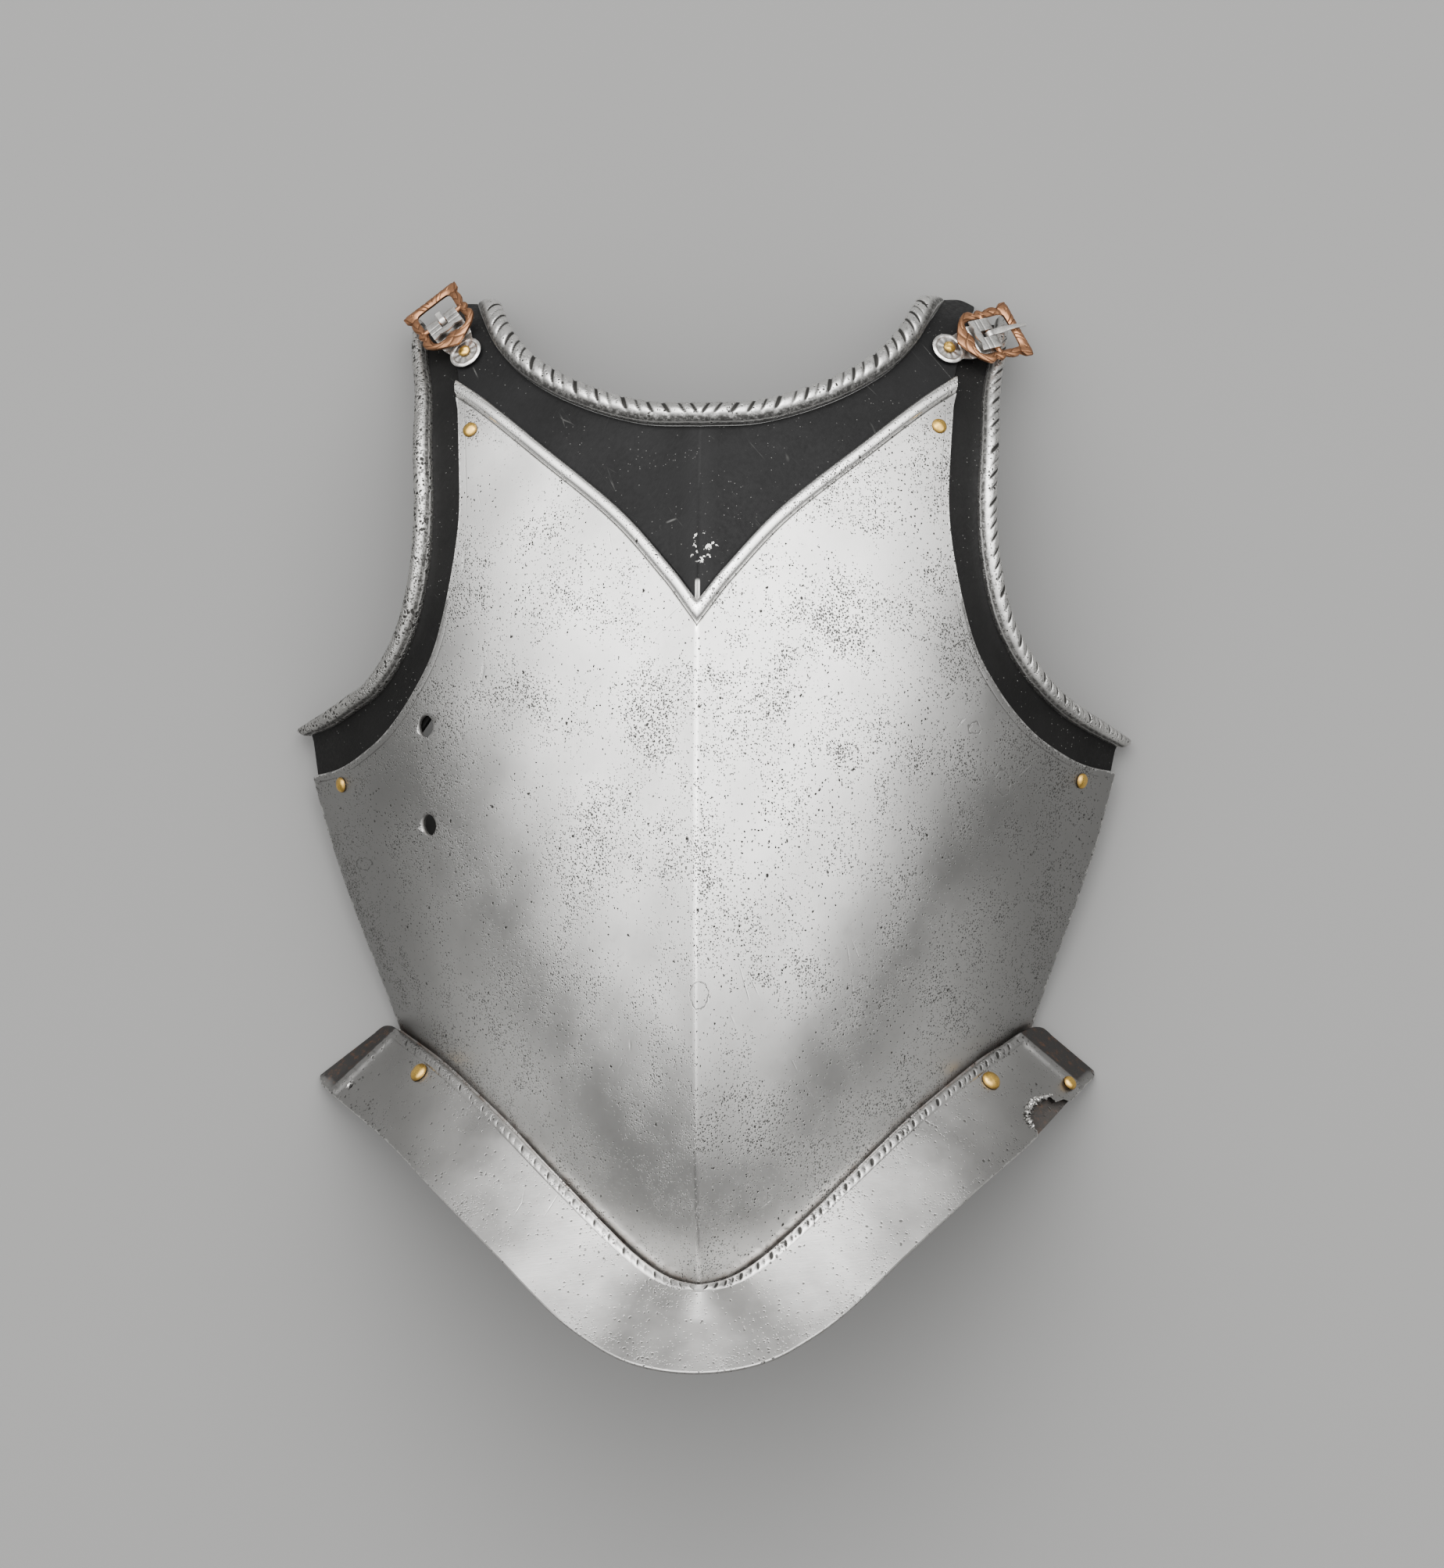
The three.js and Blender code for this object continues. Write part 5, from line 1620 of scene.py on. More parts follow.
class Pitting(Effect):
    """Corrosion pits of one size, crowded into patches."""

    name = "corrosion pits"
    inputs = (PLACE, ("Size", FLOAT, 1.0), ("Cover", FLOAT, 0.3), ("Patch", FLOAT, 30.0))

    def wire(self, tree: Tree, given: dict[str, Socket]) -> tuple[Socket, ...]:
        """Keeps the cells whose own random value falls under the patch's cover."""
        place, size = given["Place"], given["Size"]
        scale = tree.over(size)
        drift = tree.add("ShaderNodeTexNoise", inputs={"Vector": place, "Scale": scale, "Detail": 2.0})
        offset = tree.vector("SCALE", drift.outputs["Color"])
        tree.feed(offset.inputs["Scale"], tree.times(size, 0.9))
        cells = tree.cells(tree.vector("ADD", place, offset.outputs[0]).outputs[0], scale)
        pick = tree.add("ShaderNodeSeparateColor", inputs={0: cells.outputs["Color"]}).outputs[0]
        patch = tree.noise(place, tree.over(given["Patch"]), 5.0, 0.65)
        there = tree.math("LESS_THAN", pick, tree.times(tree.step(patch, 0.36, 0.68), given["Cover"]))
        small = tree.math("MULTIPLY_ADD", pick, 0.3, 0.16)
        round_pit = tree.drop(cells.outputs["Distance"], small, tree.plus(small, 0.16))
        return (tree.times(round_pit, there),)


class Scratches(Effect):
    """Thin straight scratches along one direction."""

    name = "scratches"
    inputs = (PLACE, ("Turn", FLOAT, 0.0), ("Spacing", FLOAT, 6.0), ("Amount", FLOAT, 0.5))

    def wire(self, tree: Tree, given: dict[str, Socket]) -> tuple[Socket, ...]:
        """Takes the borders of long narrow cells."""
        spun = tree.spun(given["Place"], given["Turn"])
        narrow = tree.vector("MULTIPLY", spun, (1.0, 0.07, 0.4)).outputs[0]
        border = tree.cells(narrow, tree.over(given["Spacing"]), "DISTANCE_TO_EDGE").outputs["Distance"]
        broken = tree.noise(tree.vector("MULTIPLY", spun, (1.0, 0.3, 1.0)).outputs[0], 0.11, 3.0)
        here = tree.step(broken, tree.minus(0.75, tree.times(given["Amount"], 0.3)), 0.8)
        return (tree.times(tree.drop(border, 0.0, 0.02), here),)


class Cloudiness(Effect):
    """Soft uneven tone, with a finer mottle in it."""

    name = "uneven tone"
    inputs = (PLACE, ("Size", FLOAT, 40.0))
    outputs = ("Wide", "Fine")

    def wire(self, tree: Tree, given: dict[str, Socket]) -> tuple[Socket, ...]:
        """Reads two scales of noise."""
        scale = tree.over(given["Size"])
        wide = tree.noise(given["Place"], scale, 4.0, 0.6)
        return wide, tree.noise(given["Place"], tree.times(scale, 14.0), 4.0, 0.7)


class Brushing(Effect):
    """Fine lines left by polishing along one direction."""

    name = "polishing lines"
    inputs = (PLACE, ("Turn", FLOAT, 0.0), ("Fineness", FLOAT, 2.5))
    outputs = ("Value",)

    def wire(self, tree: Tree, given: dict[str, Socket]) -> tuple[Socket, ...]:
        """Stretches noise along the lines."""
        spun = tree.spun(given["Place"], given["Turn"])
        narrow = tree.vector("MULTIPLY", spun, (1.0, 0.04, 0.5)).outputs[0]
        return (tree.noise(narrow, given["Fineness"], 3.0, 0.6),)


class RingScratch(Effect):
    """One broken ring-shaped scratch or dent."""

    name = "ring scratch"
    inputs = (
        PLACE, ("Centre", "NodeSocketVector", 0.0), ("Radius", FLOAT, 3.0), ("Width", FLOAT, 0.4),
        ("Stretch", "NodeSocketVector", 0.0),
    )

    def wire(self, tree: Tree, given: dict[str, Socket]) -> tuple[Socket, ...]:
        """Takes a narrow band round the centre and breaks it up."""
        place = given["Place"]
        wobble = tree.add("ShaderNodeTexNoise", inputs={"Vector": place, "Scale": 0.35})
        centred = tree.vector("SUBTRACT", wobble.outputs["Color"], (0.5, 0.5, 0.5)).outputs[0]
        shift = tree.vector("SCALE", centred)
        shift.inputs["Scale"].default_value = 3.0
        away = tree.vector("SUBTRACT", place, given["Centre"]).outputs[0]
        away = tree.vector("ADD", away, shift.outputs[0]).outputs[0]
        flat = tree.vector("MULTIPLY", away, given["Stretch"]).outputs[0]
        length = tree.vector("LENGTH", flat).outputs["Value"]
        off = tree.math("ABSOLUTE", tree.minus(length, given["Radius"]))
        gaps = tree.step(tree.noise(place, 0.45), 0.36, 0.5)
        return (tree.times(tree.drop(off, 0.0, given["Width"]), gaps),)


class EdgeWear(Effect):
    """Bright worn metal near an edge, uneven along it."""

    name = "edge wear"
    inputs = (PLACE, ("Distance", FLOAT, 10.0), ("Width", FLOAT, 1.0))

    def wire(self, tree: Tree, given: dict[str, Socket]) -> tuple[Socket, ...]:
        """Compares the distance with an uneven width."""
        uneven = tree.noise(given["Place"], 0.4, 4.0, 0.7)
        reach = tree.times(given["Width"], tree.step(uneven, 0.3, 0.75, 0.1, 1.5))
        near = tree.math("DIVIDE", given["Distance"], tree.plus(reach, 0.01))
        return (tree.drop(near, 0.6, 1.2),)


class Surface(Tree):
    """Tree of one material, with its shader and the place on the piece in millimetres."""

    def __init__(self, tree: bpy.types.NodeTree, base: dict[str, object], gloss: float) -> None:
        """Makes the shader, the output and the place.

        Args:
            tree: The material's tree.
            base: The shader's constant values by input name.
            gloss: Specular level.
        """
        super().__init__(tree)
        tree.nodes.clear()
        self.shader = self.add("ShaderNodeBsdfPrincipled", inputs=base)
        self.shader.inputs["Specular IOR Level"].default_value = gloss
        self.add("ShaderNodeOutputMaterial", inputs={"Surface": self.shader.outputs[0]})
        coordinates = self.add("ShaderNodeTexCoord").outputs["Object"]
        self.place = self.vector("MULTIPLY", coordinates, (1000.0, 1000.0, 1000.0)).outputs[0]

    def tone(self, size: float) -> tuple[Socket, Socket]:
        """Wide and fine unevenness."""
        wide, fine = Cloudiness().place(self, self.place, size)
        return wide, fine

    def lines(self, turn: float, fineness: float) -> Socket:
        """Polishing lines."""
        return Brushing().place(self, self.place, turn, fineness)[0]

    def pits(self, size: float, cover: Value, patch: float) -> Socket:
        """Corrosion pits."""
        return Pitting().place(self, self.place, size, cover, patch)[0]

    def scratches(self, turn: float, spacing: float, amount: float) -> Socket:
        """Straight scratches."""
        return Scratches().place(self, self.place, turn, spacing, amount)[0]

    def wear(self, width: float) -> Socket:
        """Worn edge of the piece."""
        return EdgeWear().place(self, self.place, self.mark("edge_mm"), width)[0]

    def colour(self, value: Socket) -> None:
        """Sets the colour."""
        self.feed(self.shader.inputs["Base Color"], value)

    def rough(self, value: Socket) -> None:
        """Sets the roughness."""
        self.feed(self.shader.inputs["Roughness"], value)

    def relief(self, height: Socket, strength: float, reach: float) -> None:
        """Sets the normal from a height in millimetres times "reach"."""
        inputs = {"Strength": strength, "Distance": reach * 0.001, "Height": height}
        self.feed(self.shader.inputs["Normal"], self.add("ShaderNodeBump", inputs=inputs).outputs[0])


def darker(colour: Colour, share: float) -> Colour:
    """The same colour at a share of its strength."""
    return tuple(part * share for part in colour)


@dataclass(frozen=True)
class Finish:
    """A surface finish that becomes one material.

    Attributes:
        name: Material name.
        base: Base colour, linear.
        roughness: Mean roughness.
        metallic: Metallic value.
        gloss: Specular level of what isn't metal.
    """

    name: str
    base: Colour
    roughness: float
    metallic: float = 1.0
    gloss: float = 0.5

    def paint(self, surface: Surface) -> None:
        """Wires the finish's own effects to the shader."""
        raise NotImplementedError

    def tint(self, share: float) -> Colour:
        """The base colour at a share of its strength."""
        return darker(self.base, share)

    def clouded(self, surface: Surface, wide: Socket, low: float, high: float) -> Socket:
        """The base colour between two shares of its strength."""
        return surface.mix(surface.step(wide, 0.3, 0.7), self.tint(low), self.tint(high))

    def uneven(self, surface: Surface, tone: Socket, less: float, more: float) -> Socket:
        """The roughness, a little less and more with the tone."""
        return surface.step(tone, 0.3, 0.7, self.roughness - less, self.roughness + more)

    def material(self) -> bpy.types.Material:
        """The material."""
        material = bpy.data.materials.new(self.name)
        material.use_nodes = True
        base = {"Base Color": self.base, "Roughness": self.roughness, "Metallic": self.metallic}
        self.paint(Surface(material.node_tree, base, self.gloss))
        return material


# Dark colour of pits and dirt. The rolled edges also use it for the painted shade under their curl.
PIT_DIRT_AND_SHADE: Colour = (0.04, 0.039, 0.037)
RUST: Colour = (0.16, 0.085, 0.05)
PALE_SPECK: Colour = (0.22, 0.22, 0.21)
BARE_STEEL: Colour = (0.66, 0.65, 0.63)


@dataclass(frozen=True)
class PolishedPlate(Finish):
    """Old polished plate with patches of fine pits, scratches, an incised line, a painted highlight on the
    ridge and the bead, and painted shade toward the flanks.
    """

    rings: tuple[tuple[float, float, float, float, float, float], ...] = ()

    def paint(self, surface: Surface) -> None:
        """Lays pits, scratches and marks over the polished steel."""
        s = surface
        wide, fine = s.tone(60.0)
        lines = s.lines(0.12, 3.0)
        scratches = s.scratches(0.9, 9.0, 0.45), s.scratches(-0.35, 13.0, 0.4)
        line = s.drop(s.mark("line_mm"), 0.1, 0.5)
        dark_marks = s.most(s.times(s.pits(0.85, 1.1, 30.0), 0.92), s.pits(1.3, 0.4, 48.0), s.pits(2.6, 0.05, 25.0),
                      s.times(line, 0.7), *(s.times(self._ring(s, ring), 0.7) for ring in self.rings))
        across = s.across(s.place)
        # Painted highlight along the ridge: the colour is brightened within about a millimetre of the middle.
        ridge_highlight = s.drop(across, 0.4, 1.4)
        steel = self.clouded(s, wide, 0.8, 1.08)
        steel = s.mix(s.times(s.step(fine, 0.5, 0.8), 0.35), steel, self.tint(0.6))
        # Painted shade toward the flanks: the colour darkens with distance from the middle.
        steel = s.mix(s.step(across, 55.0, 140.0, 0.0, 0.86), steel, self.tint(0.22))
        seam = s.drop(s.mark("waist_mm"), 0.0, 7.0)
        steel = s.mix(s.times(seam, s.step(fine, 0.35, 0.75, 0.1, 0.7)), steel, RUST)
        bead = s.mark("bead")
        # Real edge wear, mixed with the painted highlight on the ridge and on the bead, all brightened in
        # colour.
        bright_marks = s.most(s.times(s.wear(0.9), 0.5), s.times(ridge_highlight, 0.7), s.times(bead, 0.8))
        s.colour(s.mix(dark_marks, s.mix(bright_marks, steel, self.tint(1.4)), PIT_DIRT_AND_SHADE))
        rough = s.step(wide, 0.25, 0.75, self.roughness - 0.04, self.roughness + 0.06)
        s.rough(s.minus(s.plus(rough, s.times(dark_marks, 0.35)), s.times(s.most(ridge_highlight, bead), 0.1)))
        depth = s.plus(s.times(s.most(dark_marks, *scratches), -1.0), s.times(lines, 0.1))
        s.relief(s.plus(depth, s.times(fine, 0.15)), 0.5, 0.2)

    def _ring(self, surface: Surface, ring: tuple[float, ...]) -> Socket:
        """One ring scratch on the plate."""
        x, y, z, radius, wide, tall = ring
        stretch = (1 / wide, 1 / tall, 0.0)
        return RingScratch().place(surface, surface.place, (x, y, z), radius, 0.55, stretch)[0]


@dataclass(frozen=True)
class Blackened(Finish):
    """Matt black iron with pale specks, a rubbed ridge and a few bare chips."""

    gloss: float = 0.15
    chips: tuple[float, float, float] = (0.0, 0.0, 0.0)
    apex: tuple[float, float, float] = (0.0, 0.0, 0.0)

    def paint(self, surface: Surface) -> None:
        """Lays rubbing, specks and chips over the black."""
        s = surface
        wide, fine = s.tone(28.0)
        lines = s.lines(0.5, 1.8)
        specks = s.pits(0.8, 0.1, 12.0)
        score = s.scratches(-0.7, 7.0, 0.5)
        across = s.across(s.place)
        rub = s.times(s.drop(across, 0.6, 9.0), s.step(fine, 0.35, 0.75, 0.15, 0.75))
        black = self.clouded(s, wide, 0.72, 1.3)
        black = s.mix(s.step(lines, 0.4, 0.75, 0.0, 0.3), black, self.tint(1.9))
        black = s.mix(s.times(rub, 0.6), black, self.tint(3.2))
        black = s.mix(s.times(s.most(specks, s.times(score, 0.7)), 0.5), black, PALE_SPECK)
        flake = s.step(s.noise(s.place, 0.42, 3.0, 0.5), 0.6, 0.62)
        chip = s.times(flake, s.drop(s.away(s.place, self.chips), 6.5, 8.0))
        tip = s.times(s.drop(across, 0.6, 1.1), s.drop(s.away(s.place, self.apex), 8.0, 10.0))
        bare = s.most(chip, tip)
        s.colour(s.mix(bare, black, BARE_STEEL))
        s.feed(s.shader.inputs["Metallic"], s.step(bare, 0.0, 1.0, self.metallic, 1.0))
        s.rough(s.minus(self.uneven(s, fine, 0.08, 0.1), s.times(rub, 0.12)))
        height = s.plus(s.times(lines, 0.3), s.times(fine, 0.6))
        s.relief(s.minus(height, s.times(s.most(bare, specks), 0.5)), 0.6, 0.25)


@dataclass(frozen=True)
class RollSteel(Finish):
    """Bright rolled edge, heavily speckled, dark in its nicks, with painted shade under its curl."""

    speckle: float = 0.8

    def paint(self, surface: Surface) -> None:
        """Lays speckles, nicks and the painted shade under the curl over the steel."""
        s = surface
        wide, fine = s.tone(22.0)
        pits = s.times(s.pits(1.0, self.speckle * 1.6, 14.0), 0.8), s.pits(1.7, self.speckle * 1.2, 11.0)
        # Painted shade under the curl, mottled by the fine tone. It joins the pits and the nicks in one dark
        # mask.
        painted_under_shade = s.times(s.mark("under"), s.step(fine, 0.2, 0.6, 0.35, 0.95))
        dark_marks = s.most(*pits, s.step(s.mark("nick"), 0.15, 0.55), painted_under_shade)
        s.colour(s.mix(dark_marks, self.clouded(s, wide, 0.8, 1.1), PIT_DIRT_AND_SHADE))
        s.rough(s.plus(self.uneven(s, fine, 0.06, 0.08), s.times(dark_marks, 0.35)))
        s.relief(s.minus(s.times(fine, 0.5), dark_marks), 0.7, 0.25)


@dataclass(frozen=True)
class WaistSteel(Finish):
    """Light brushed waist plate, pitted near its edges, with blackened tabs and painted shade toward its
    ends.
    """

    black: Colour = (0.05, 0.048, 0.047)

    def paint(self, surface: Surface) -> None:
        """Lays brushing, pits and black over the steel."""
        s = surface
        wide, fine = s.tone(45.0)
        lines = s.lines(1.45, 2.2)
        near_edge = s.step(s.mark("edge_mm"), 2.0, 16.0, 1.0, 0.4)
        pits = s.times(s.pits(1.0, s.times(near_edge, 0.9), 24.0), 0.7)
        large = s.times(s.pits(1.9, s.times(near_edge, 0.7), 17.0), 0.85)
        dark_marks = s.most(pits, large, s.step(s.mark("nick"), 0.14, 0.5))
        steel = self.clouded(s, wide, 0.86, 1.1)
        # Painted shade toward the ends: the colour darkens with distance from the middle.
        steel = s.mix(s.step(s.across(s.place), 85.0, 130.0, 0.0, 0.8), steel, self.tint(0.3))
        steel = s.mix(dark_marks, s.mix(s.times(s.wear(0.7), 0.5), steel, self.tint(1.2)), PIT_DIRT_AND_SHADE)
        inside = s.times(s.mark("inside"), s.step(fine, 0.2, 0.7, 0.5, 0.9))
        black = s.most(s.mark("black"), inside)
        s.colour(s.mix(black, steel, s.mix(s.step(fine, 0.5, 0.8), self.black, RUST)))
        rough = s.step(wide, 0.25, 0.75, self.roughness - 0.05, self.roughness + 0.07)
        s.rough(s.plus(rough, s.times(s.most(dark_marks, black), 0.3)))
        depth = s.times(s.most(dark_marks, s.scratches(0.3, 11.0, 0.5)), -1.0)
        s.relief(s.plus(s.plus(depth, s.times(lines, 0.2)), s.times(fine, 0.2)), 0.5, 0.2)


@dataclass(frozen=True)
class InsideSteel(Finish):
    """Rough dark inner face, brown in places."""

    def paint(self, surface: Surface) -> None:
        """Lays brown clouds and hammer texture over the dark iron."""
        s = surface
        wide, fine = s.tone(35.0)
        pits = s.pits(2.4, 0.7, 40.0)
        iron = s.mix(s.step(wide, 0.3, 0.7), self.base, self.tint(1.9))
        iron = s.mix(s.step(fine, 0.5, 0.8, 0.0, 0.6), iron, RUST)
        s.colour(s.mix(s.times(pits, 0.6), iron, PIT_DIRT_AND_SHADE))
        s.rough(self.uneven(s, fine, 0.1, 0.12))
        s.relief(s.minus(fine, pits), 0.7, 0.4)


@dataclass(frozen=True)
class Alloy(Finish):
    """Yellow or red copper alloy, dark where it isn't rubbed."""

    tarnish: Colour = (0.10, 0.055, 0.03)

    def paint(self, surface: Surface) -> None:
        """Lays tarnish and small scratches over the alloy."""
        s = surface
        wide, fine = s.tone(5.0)
        pits = s.pits(0.5, 0.3, 3.0)
        hollow = s.most(s.step(s.mark("nick"), 0.2, 0.8), s.times(s.mark("rim"), 0.8))
        dark = s.most(s.times(hollow, 0.85), s.times(s.step(wide, 0.4, 0.75), 0.5), s.times(pits, 0.6))
        s.colour(s.mix(dark, self.base, self.tarnish))
        s.rough(s.plus(self.uneven(s, fine, 0.07, 0.1), s.times(dark, 0.25)))
        s.relief(s.minus(s.times(fine, 0.5), s.most(s.scratches(0.6, 1.6, 0.7), pits)), 0.5, 0.1)


@dataclass(frozen=True)
class FiledSteel(Finish):
    """Hand-filed small steel parts, bright on their edges."""

    def paint(self, surface: Surface) -> None:
        """Lays file marks and grime over the steel."""
        s = surface
        wide, fine = s.tone(4.0)
        marks = s.lines(0.9, 7.0)
        bright = s.mark("bright")
        grime = s.times(s.step(wide, 0.42, 0.7), s.step(bright, 0.0, 0.7, 0.75, 0.1))
        dark_marks = s.most(s.times(s.pits(0.6, 0.5, 4.0), 0.7), grime, s.step(s.mark("nick"), 0.3, 0.9))
        s.colour(s.mix(dark_marks, s.mix(bright, self.tint(0.85), self.tint(1.2)), darker(PIT_DIRT_AND_SHADE, 2.0)))
        s.rough(s.plus(self.uneven(s, marks, 0.06, 0.1), s.times(dark_marks, 0.25)))
        s.relief(s.minus(s.plus(marks, fine), dark_marks), 0.5, 0.08)


@dataclass(frozen=True)
class Floor(Finish):
    """Plain pale floor."""

    def paint(self, surface: Surface) -> None:
        """Lays a very faint unevenness over the floor."""
        wide, _ = surface.tone(260.0)
        surface.colour(surface.mix(surface.step(wide, 0.2, 0.8), self.tint(0.985), self.base))


# ---------------------------------------------------------------- stage
def linked(name: str, data: bpy.types.ID) -> bpy.types.Object:
    """A new object in the scene."""
    thing = bpy.data.objects.new(name, data)
    bpy.context.collection.objects.link(thing)
    return thing


@dataclass
class Studio:
    """Pale floor, soft lights and a camera that looks straight at the breast."""

    target: tuple[float, float, float] = (0.0, 240.0, 60.0)
    swing_deg: float = 3.0
    roll_deg: float = 0.3
    distance: float = 3000.0
    slide: float = 5.9
    lens: float = 169.7
    floor_size: float = 9.0
    softbox_at: tuple[float, float, float] = (0.0, 1.5, 1.9)
    softbox_aim: tuple[float, float, float] = (0.0, 0.0, 0.08)
    softbox_size: tuple[float, float] = (1.8, 1.2)
    softbox_watts: float = 30.0

    def camera(self) -> None:
        """Makes the camera."""
        swing, roll = math.radians(self.swing_deg), math.radians(self.roll_deg)
        back = np.array([math.sin(swing), 0.0, math.cos(swing)])
        right = np.array([math.cos(swing), 0.0, -math.sin(swing)])
        upright = np.array([0.0, 1.0, 0.0])
        data = bpy.data.cameras.new("camera")
        data.lens = self.lens
        data.sensor_width = 36.0
        camera = linked("camera", data)
        turn = np.eye(4)
        turn[:3, 0] = LAY.direction(right * math.cos(roll) - upright * math.sin(roll))
        turn[:3, 1] = LAY.direction(upright * math.cos(roll) + right * math.sin(roll))
        turn[:3, 2] = LAY.direction(back)
        turn[:3, 3] = LAY(np.array(self.target) + back * self.distance + right * self.slide)
        camera.matrix_world = Matrix(turn.tolist())
        bpy.context.scene.camera = camera

    def softbox(self) -> None:
        """Makes the soft light from above the neck."""
        data = bpy.data.lights.new("neck_softbox", "AREA")
        data.shape = "RECTANGLE"
        data.size, data.size_y = self.softbox_size
        data.energy = self.softbox_watts
        lamp = linked("neck_softbox", data)
        lamp.location = self.softbox_at
        way = Vector(self.softbox_aim) - Vector(self.softbox_at)
        lamp.rotation_euler = way.to_track_quat("-Z", "Y").to_euler()

    def surroundings(self) -> None:
        """Makes the surroundings, brighter overhead than at the sides."""
        world = bpy.data.worlds.new("surroundings")
        world.use_nodes = True
        tree = Tree(world.node_tree)
        way = tree.add("ShaderNodeTexCoord").outputs["Generated"]
        parts = tree.add("ShaderNodeSeparateXYZ", inputs={0: way})
        height = tree.add("ShaderNodeClamp", inputs={0: parts.outputs[2], 1: 0.0, 2: 0.7}).outputs[0]
        overhead = tree.math("MULTIPLY_ADD", tree.times(height, height), 12.5, 0.14)
        neckward = tree.step(parts.outputs[1], -0.4, 0.46, 0.24, 1.0)
        middle = tree.step(tree.math("ABSOLUTE", parts.outputs[0]), 0.0, 0.6, 0.82, 1.0)
        back = world.node_tree.nodes["Background"]
        tree.feed(back.inputs["Strength"], tree.times(tree.times(overhead, neckward), middle))
        back.inputs["Color"].default_value = (1.0, 0.995, 0.985, 1.0)
        bpy.context.scene.world = world

    def floor(self, finish: bpy.types.Material) -> None:
        """Makes the floor under the part."""
        half = self.floor_size / 2
        mesh = bpy.data.meshes.new("floor")
        corners = [(-half, -half, 0), (half, -half, 0), (half, half, 0), (-half, half, 0)]
        mesh.from_pydata(corners, [], [(0, 1, 2, 3)])
        mesh.materials.append(finish)
        linked("floor", mesh)


# ---------------------------------------------------------------- the whole breastplate
# Places of the ring scratches [x, y], with their radius and how wide and tall they are drawn out.
SCRATCHED_RINGS = (
    (109, 262, 2.2, 1.0, 1.0),
    (120, 240, 4.0, 0.7, 1.3),
    (-142, 208, 3.6, 1.0, 0.7),
    (1.5, 157, 4.6, 0.8, 1.2),
    (-98, 219, 2.6, 0.5, 1.5),
)
CHIPS_AT = (3.0, 335.0)
APEX_AT = (0.0, 313.0)


def laid_mm(x: float, y: float) -> tuple[float, float, float]:
    """A place of the chest in millimetres of the part's own frame."""
    at = CHEST.point(abs(x), y) * np.array([math.copysign(1.0, x), 1, 1])
    return tuple(float(v) * 1000 for v in LAY(at))


@dataclass(frozen=True)
class Wardrobe:
    """All the finishes of the breastplate."""

    field: Finish = PolishedPlate("polished_field", (0.74, 0.735, 0.72), 0.34, rings=tuple(
        (*laid_mm(x, y), *sizes) for x, y, *sizes in SCRATCHED_RINGS))
    panel: Finish = Blackened("black_panel", (0.0055, 0.0055, 0.0057), 0.55, 0.0,
                              chips=laid_mm(*CHIPS_AT), apex=laid_mm(*APEX_AT))
    band: Finish = Blackened("black_band", (0.0038, 0.0037, 0.0036), 0.55, 0.0)
    inside: Finish = InsideSteel("rough_inside", (0.06, 0.055, 0.05), 0.6, 0.7)
    roll: Finish = RollSteel("roped_neck", (0.68, 0.675, 0.66), 0.3, speckle=0.35)
    arm_roll: Finish = RollSteel("speckled_arm_roll", (0.46, 0.455, 0.44), 0.34, speckle=2.2)
    roped_arm_roll: Finish = RollSteel("roped_arm_roll", (0.58, 0.575, 0.56), 0.3, speckle=0.5)
    waist: Finish = WaistSteel("waist_steel", (0.62, 0.613, 0.6), 0.3)
    brass: Finish = Alloy("rivet_brass_polished", (0.66, 0.42, 0.1), 0.28)
    copper: Finish = Alloy("buckle_alloy_carved", (0.34, 0.17, 0.09), 0.36)
    fitting: Finish = FiledSteel("fitting_steel_filed", (0.6, 0.59, 0.57), 0.3)
    patch: Finish = InsideSteel("patch_iron", (0.035, 0.032, 0.03), 0.5, 0.6)
    floor: Finish = Floor("pale_floor", (0.17, 0.17, 0.168), 0.8, 0.0)

    def stock(self) -> dict[str, bpy.types.Material]:
        """Every material by the finish's word."""
        return {row.name: getattr(self, row.name).material() for row in fields(self)}


def fit(piece: bpy.types.Object, body: str, slot: str, *nodes: str) -> None:
    """Makes a piece ride on its body and stand for its CAD nodes.

    Args:
        piece: The piece.
        body: Name of the body.
        slot: Name of the material slot; not used.
        nodes: CAD nodes that it replaces.
    """
    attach(piece, body)
    if nodes:
        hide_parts(*nodes)
    log.info("%s rides %s with %d faces", piece.name, body, len(piece.data.polygons))


def fit_rivets(brass: bpy.types.Material) -> None:
    """Builds the brass rivets of the gussets, the waist plate and the patch."""
    rows = []
    for side in Side:
        label = side.label
        waist_x = 112 if side is Side.RIGHT else 107
        rows += [
            (f"gusset_rivet_shoulder_{label}", chest_seat(side, 95, 384), 3.2, 1.8, 5.6),
            (f"gusset_rivet_flank_{label}", chest_seat(side, 151.5, 240.5), 3.2, 1.8, 4.9),
            (f"waist_rivet_{label}", waist_seat(side, waist_x, 0.25), 4.1, 2.2, 5.0),
        ]
    rows.append(("patch_rivet", waist_seat(Side.LEFT, 121, 0.84, 0.9), 3.1, 1.9, 4.65))
    for node, seat, radius, height, grip in rows:
        rivet = Rivet(f"{node}_head", node, seat, radius, height, grip)
        fit(rivet.build(brass), "breastplate", "rivet_brass", node)


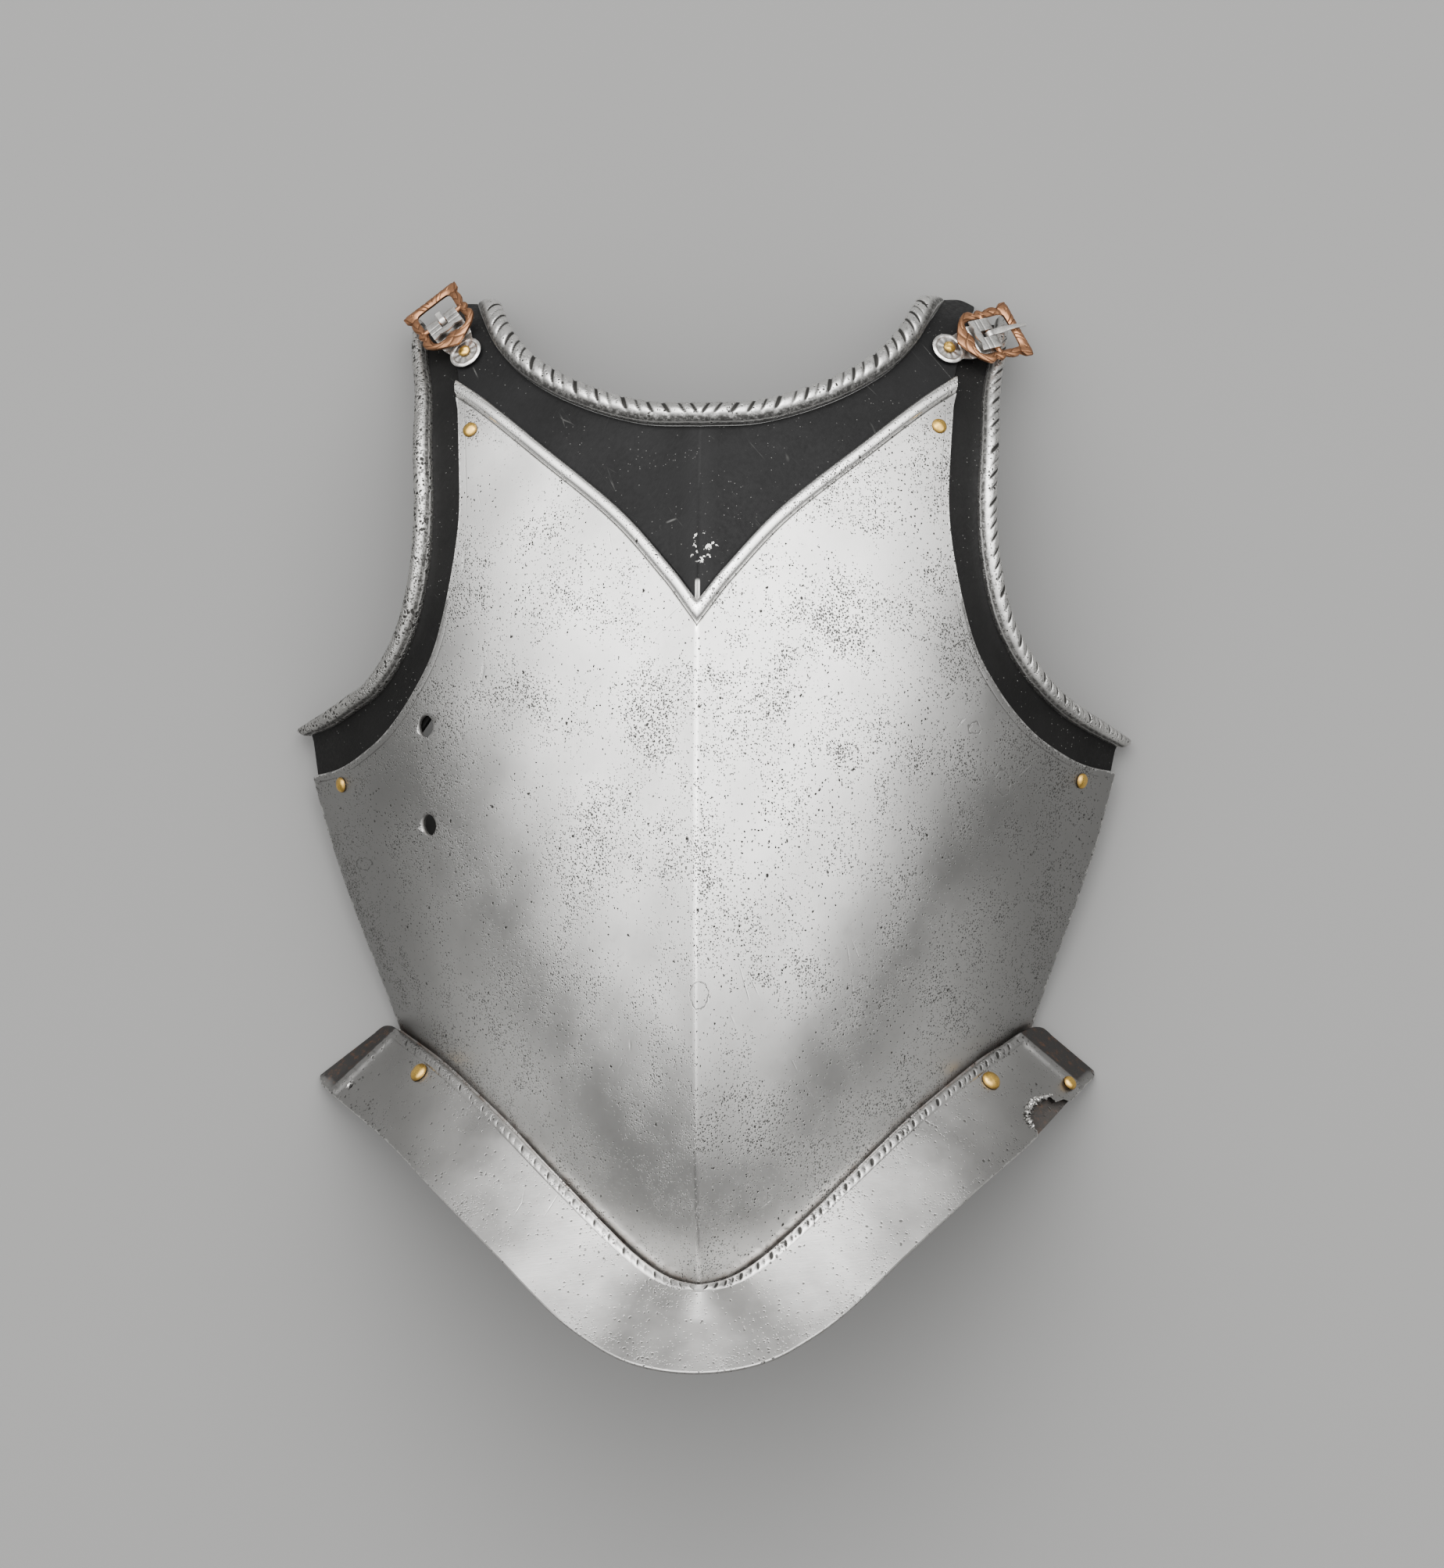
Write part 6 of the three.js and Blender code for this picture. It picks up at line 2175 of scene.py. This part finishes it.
def fit_buckle(buckle: Buckle, finishes: dict[str, bpy.types.Material]) -> None:
    """Builds one buckle and sets its pieces on their bodies."""
    label = buckle.side.label
    for word, piece in buckle.build(finishes["copper"], finishes["fitting"]).items():
        body = "breastplate" if word == "washer" else f"{label}_{word}"
        slot = "buckle_alloy" if word == "frame" else "fitting_steel"
        fit(piece, body, slot, f"buckle_{word}_{label}")
    rivet = buckle.rivet()
    fit(rivet.build(finishes["brass"]), "breastplate", "rivet_brass", rivet.node)


def fit_gussets(finishes: dict[str, bpy.types.Material]) -> None:
    """Builds both arm gussets: the right one's roll is hardly roped, the left one's is roped to its end."""
    smooth_rope = Rope(pitch=5.2, lean=-2.4, depth=0.6, width=0.8, window=(0.05, 0.5))
    full_rope = Rope(pitch=5.4, lean=-3.6, depth=0.75, width=0.8, window=(0.1, 0.5))
    rows = ((Side.RIGHT, "arm_roll", 0.1, smooth_rope), (Side.LEFT, "roped_arm_roll", 1.1, full_rope))
    for side, steel, shown, rope in rows:
        band, roll = ArmGusset(side, rope, shown).build(finishes["band"], finishes[steel])
        fit(band, "breastplate", "black_steel", f"arm_gusset_{side.label}")
        fit(roll, "breastplate", "field_steel")


def main() -> None:
    """Builds the breastplate and its stage."""
    logging.basicConfig(level=logging.INFO, format="%(message)s")
    studio = Studio()
    studio.camera()
    studio.softbox()
    studio.surroundings()
    finishes = Wardrobe().stock()
    studio.floor(finishes["floor"])
    plate = MainPlate()
    body = plate.build([finishes["field"], finishes["panel"], finishes["inside"]])
    fit(body, "breastplate", "field_steel", "main_plate")
    fit(NeckRoll(plate).build(finishes["roll"]), "breastplate", "field_steel")
    fit_gussets(finishes)
    fit(WaistPlate().build(finishes["waist"]), "breastplate", "field_steel", "waist_plate")
    fit(TornLip().build(finishes["arm_roll"]), "breastplate", "field_steel")
    fit(WaistPatch().build(finishes["patch"]), "breastplate", "black_steel", "waist_patch")
    fit_rivets(finishes["brass"])
    fit_buckle(Buckle(Side.RIGHT, 126.5, 3.6), finishes)
    fit_buckle(Buckle(Side.LEFT, 15.6, 17.0, 0.5), finishes)


if __name__ == "__main__":
    main()
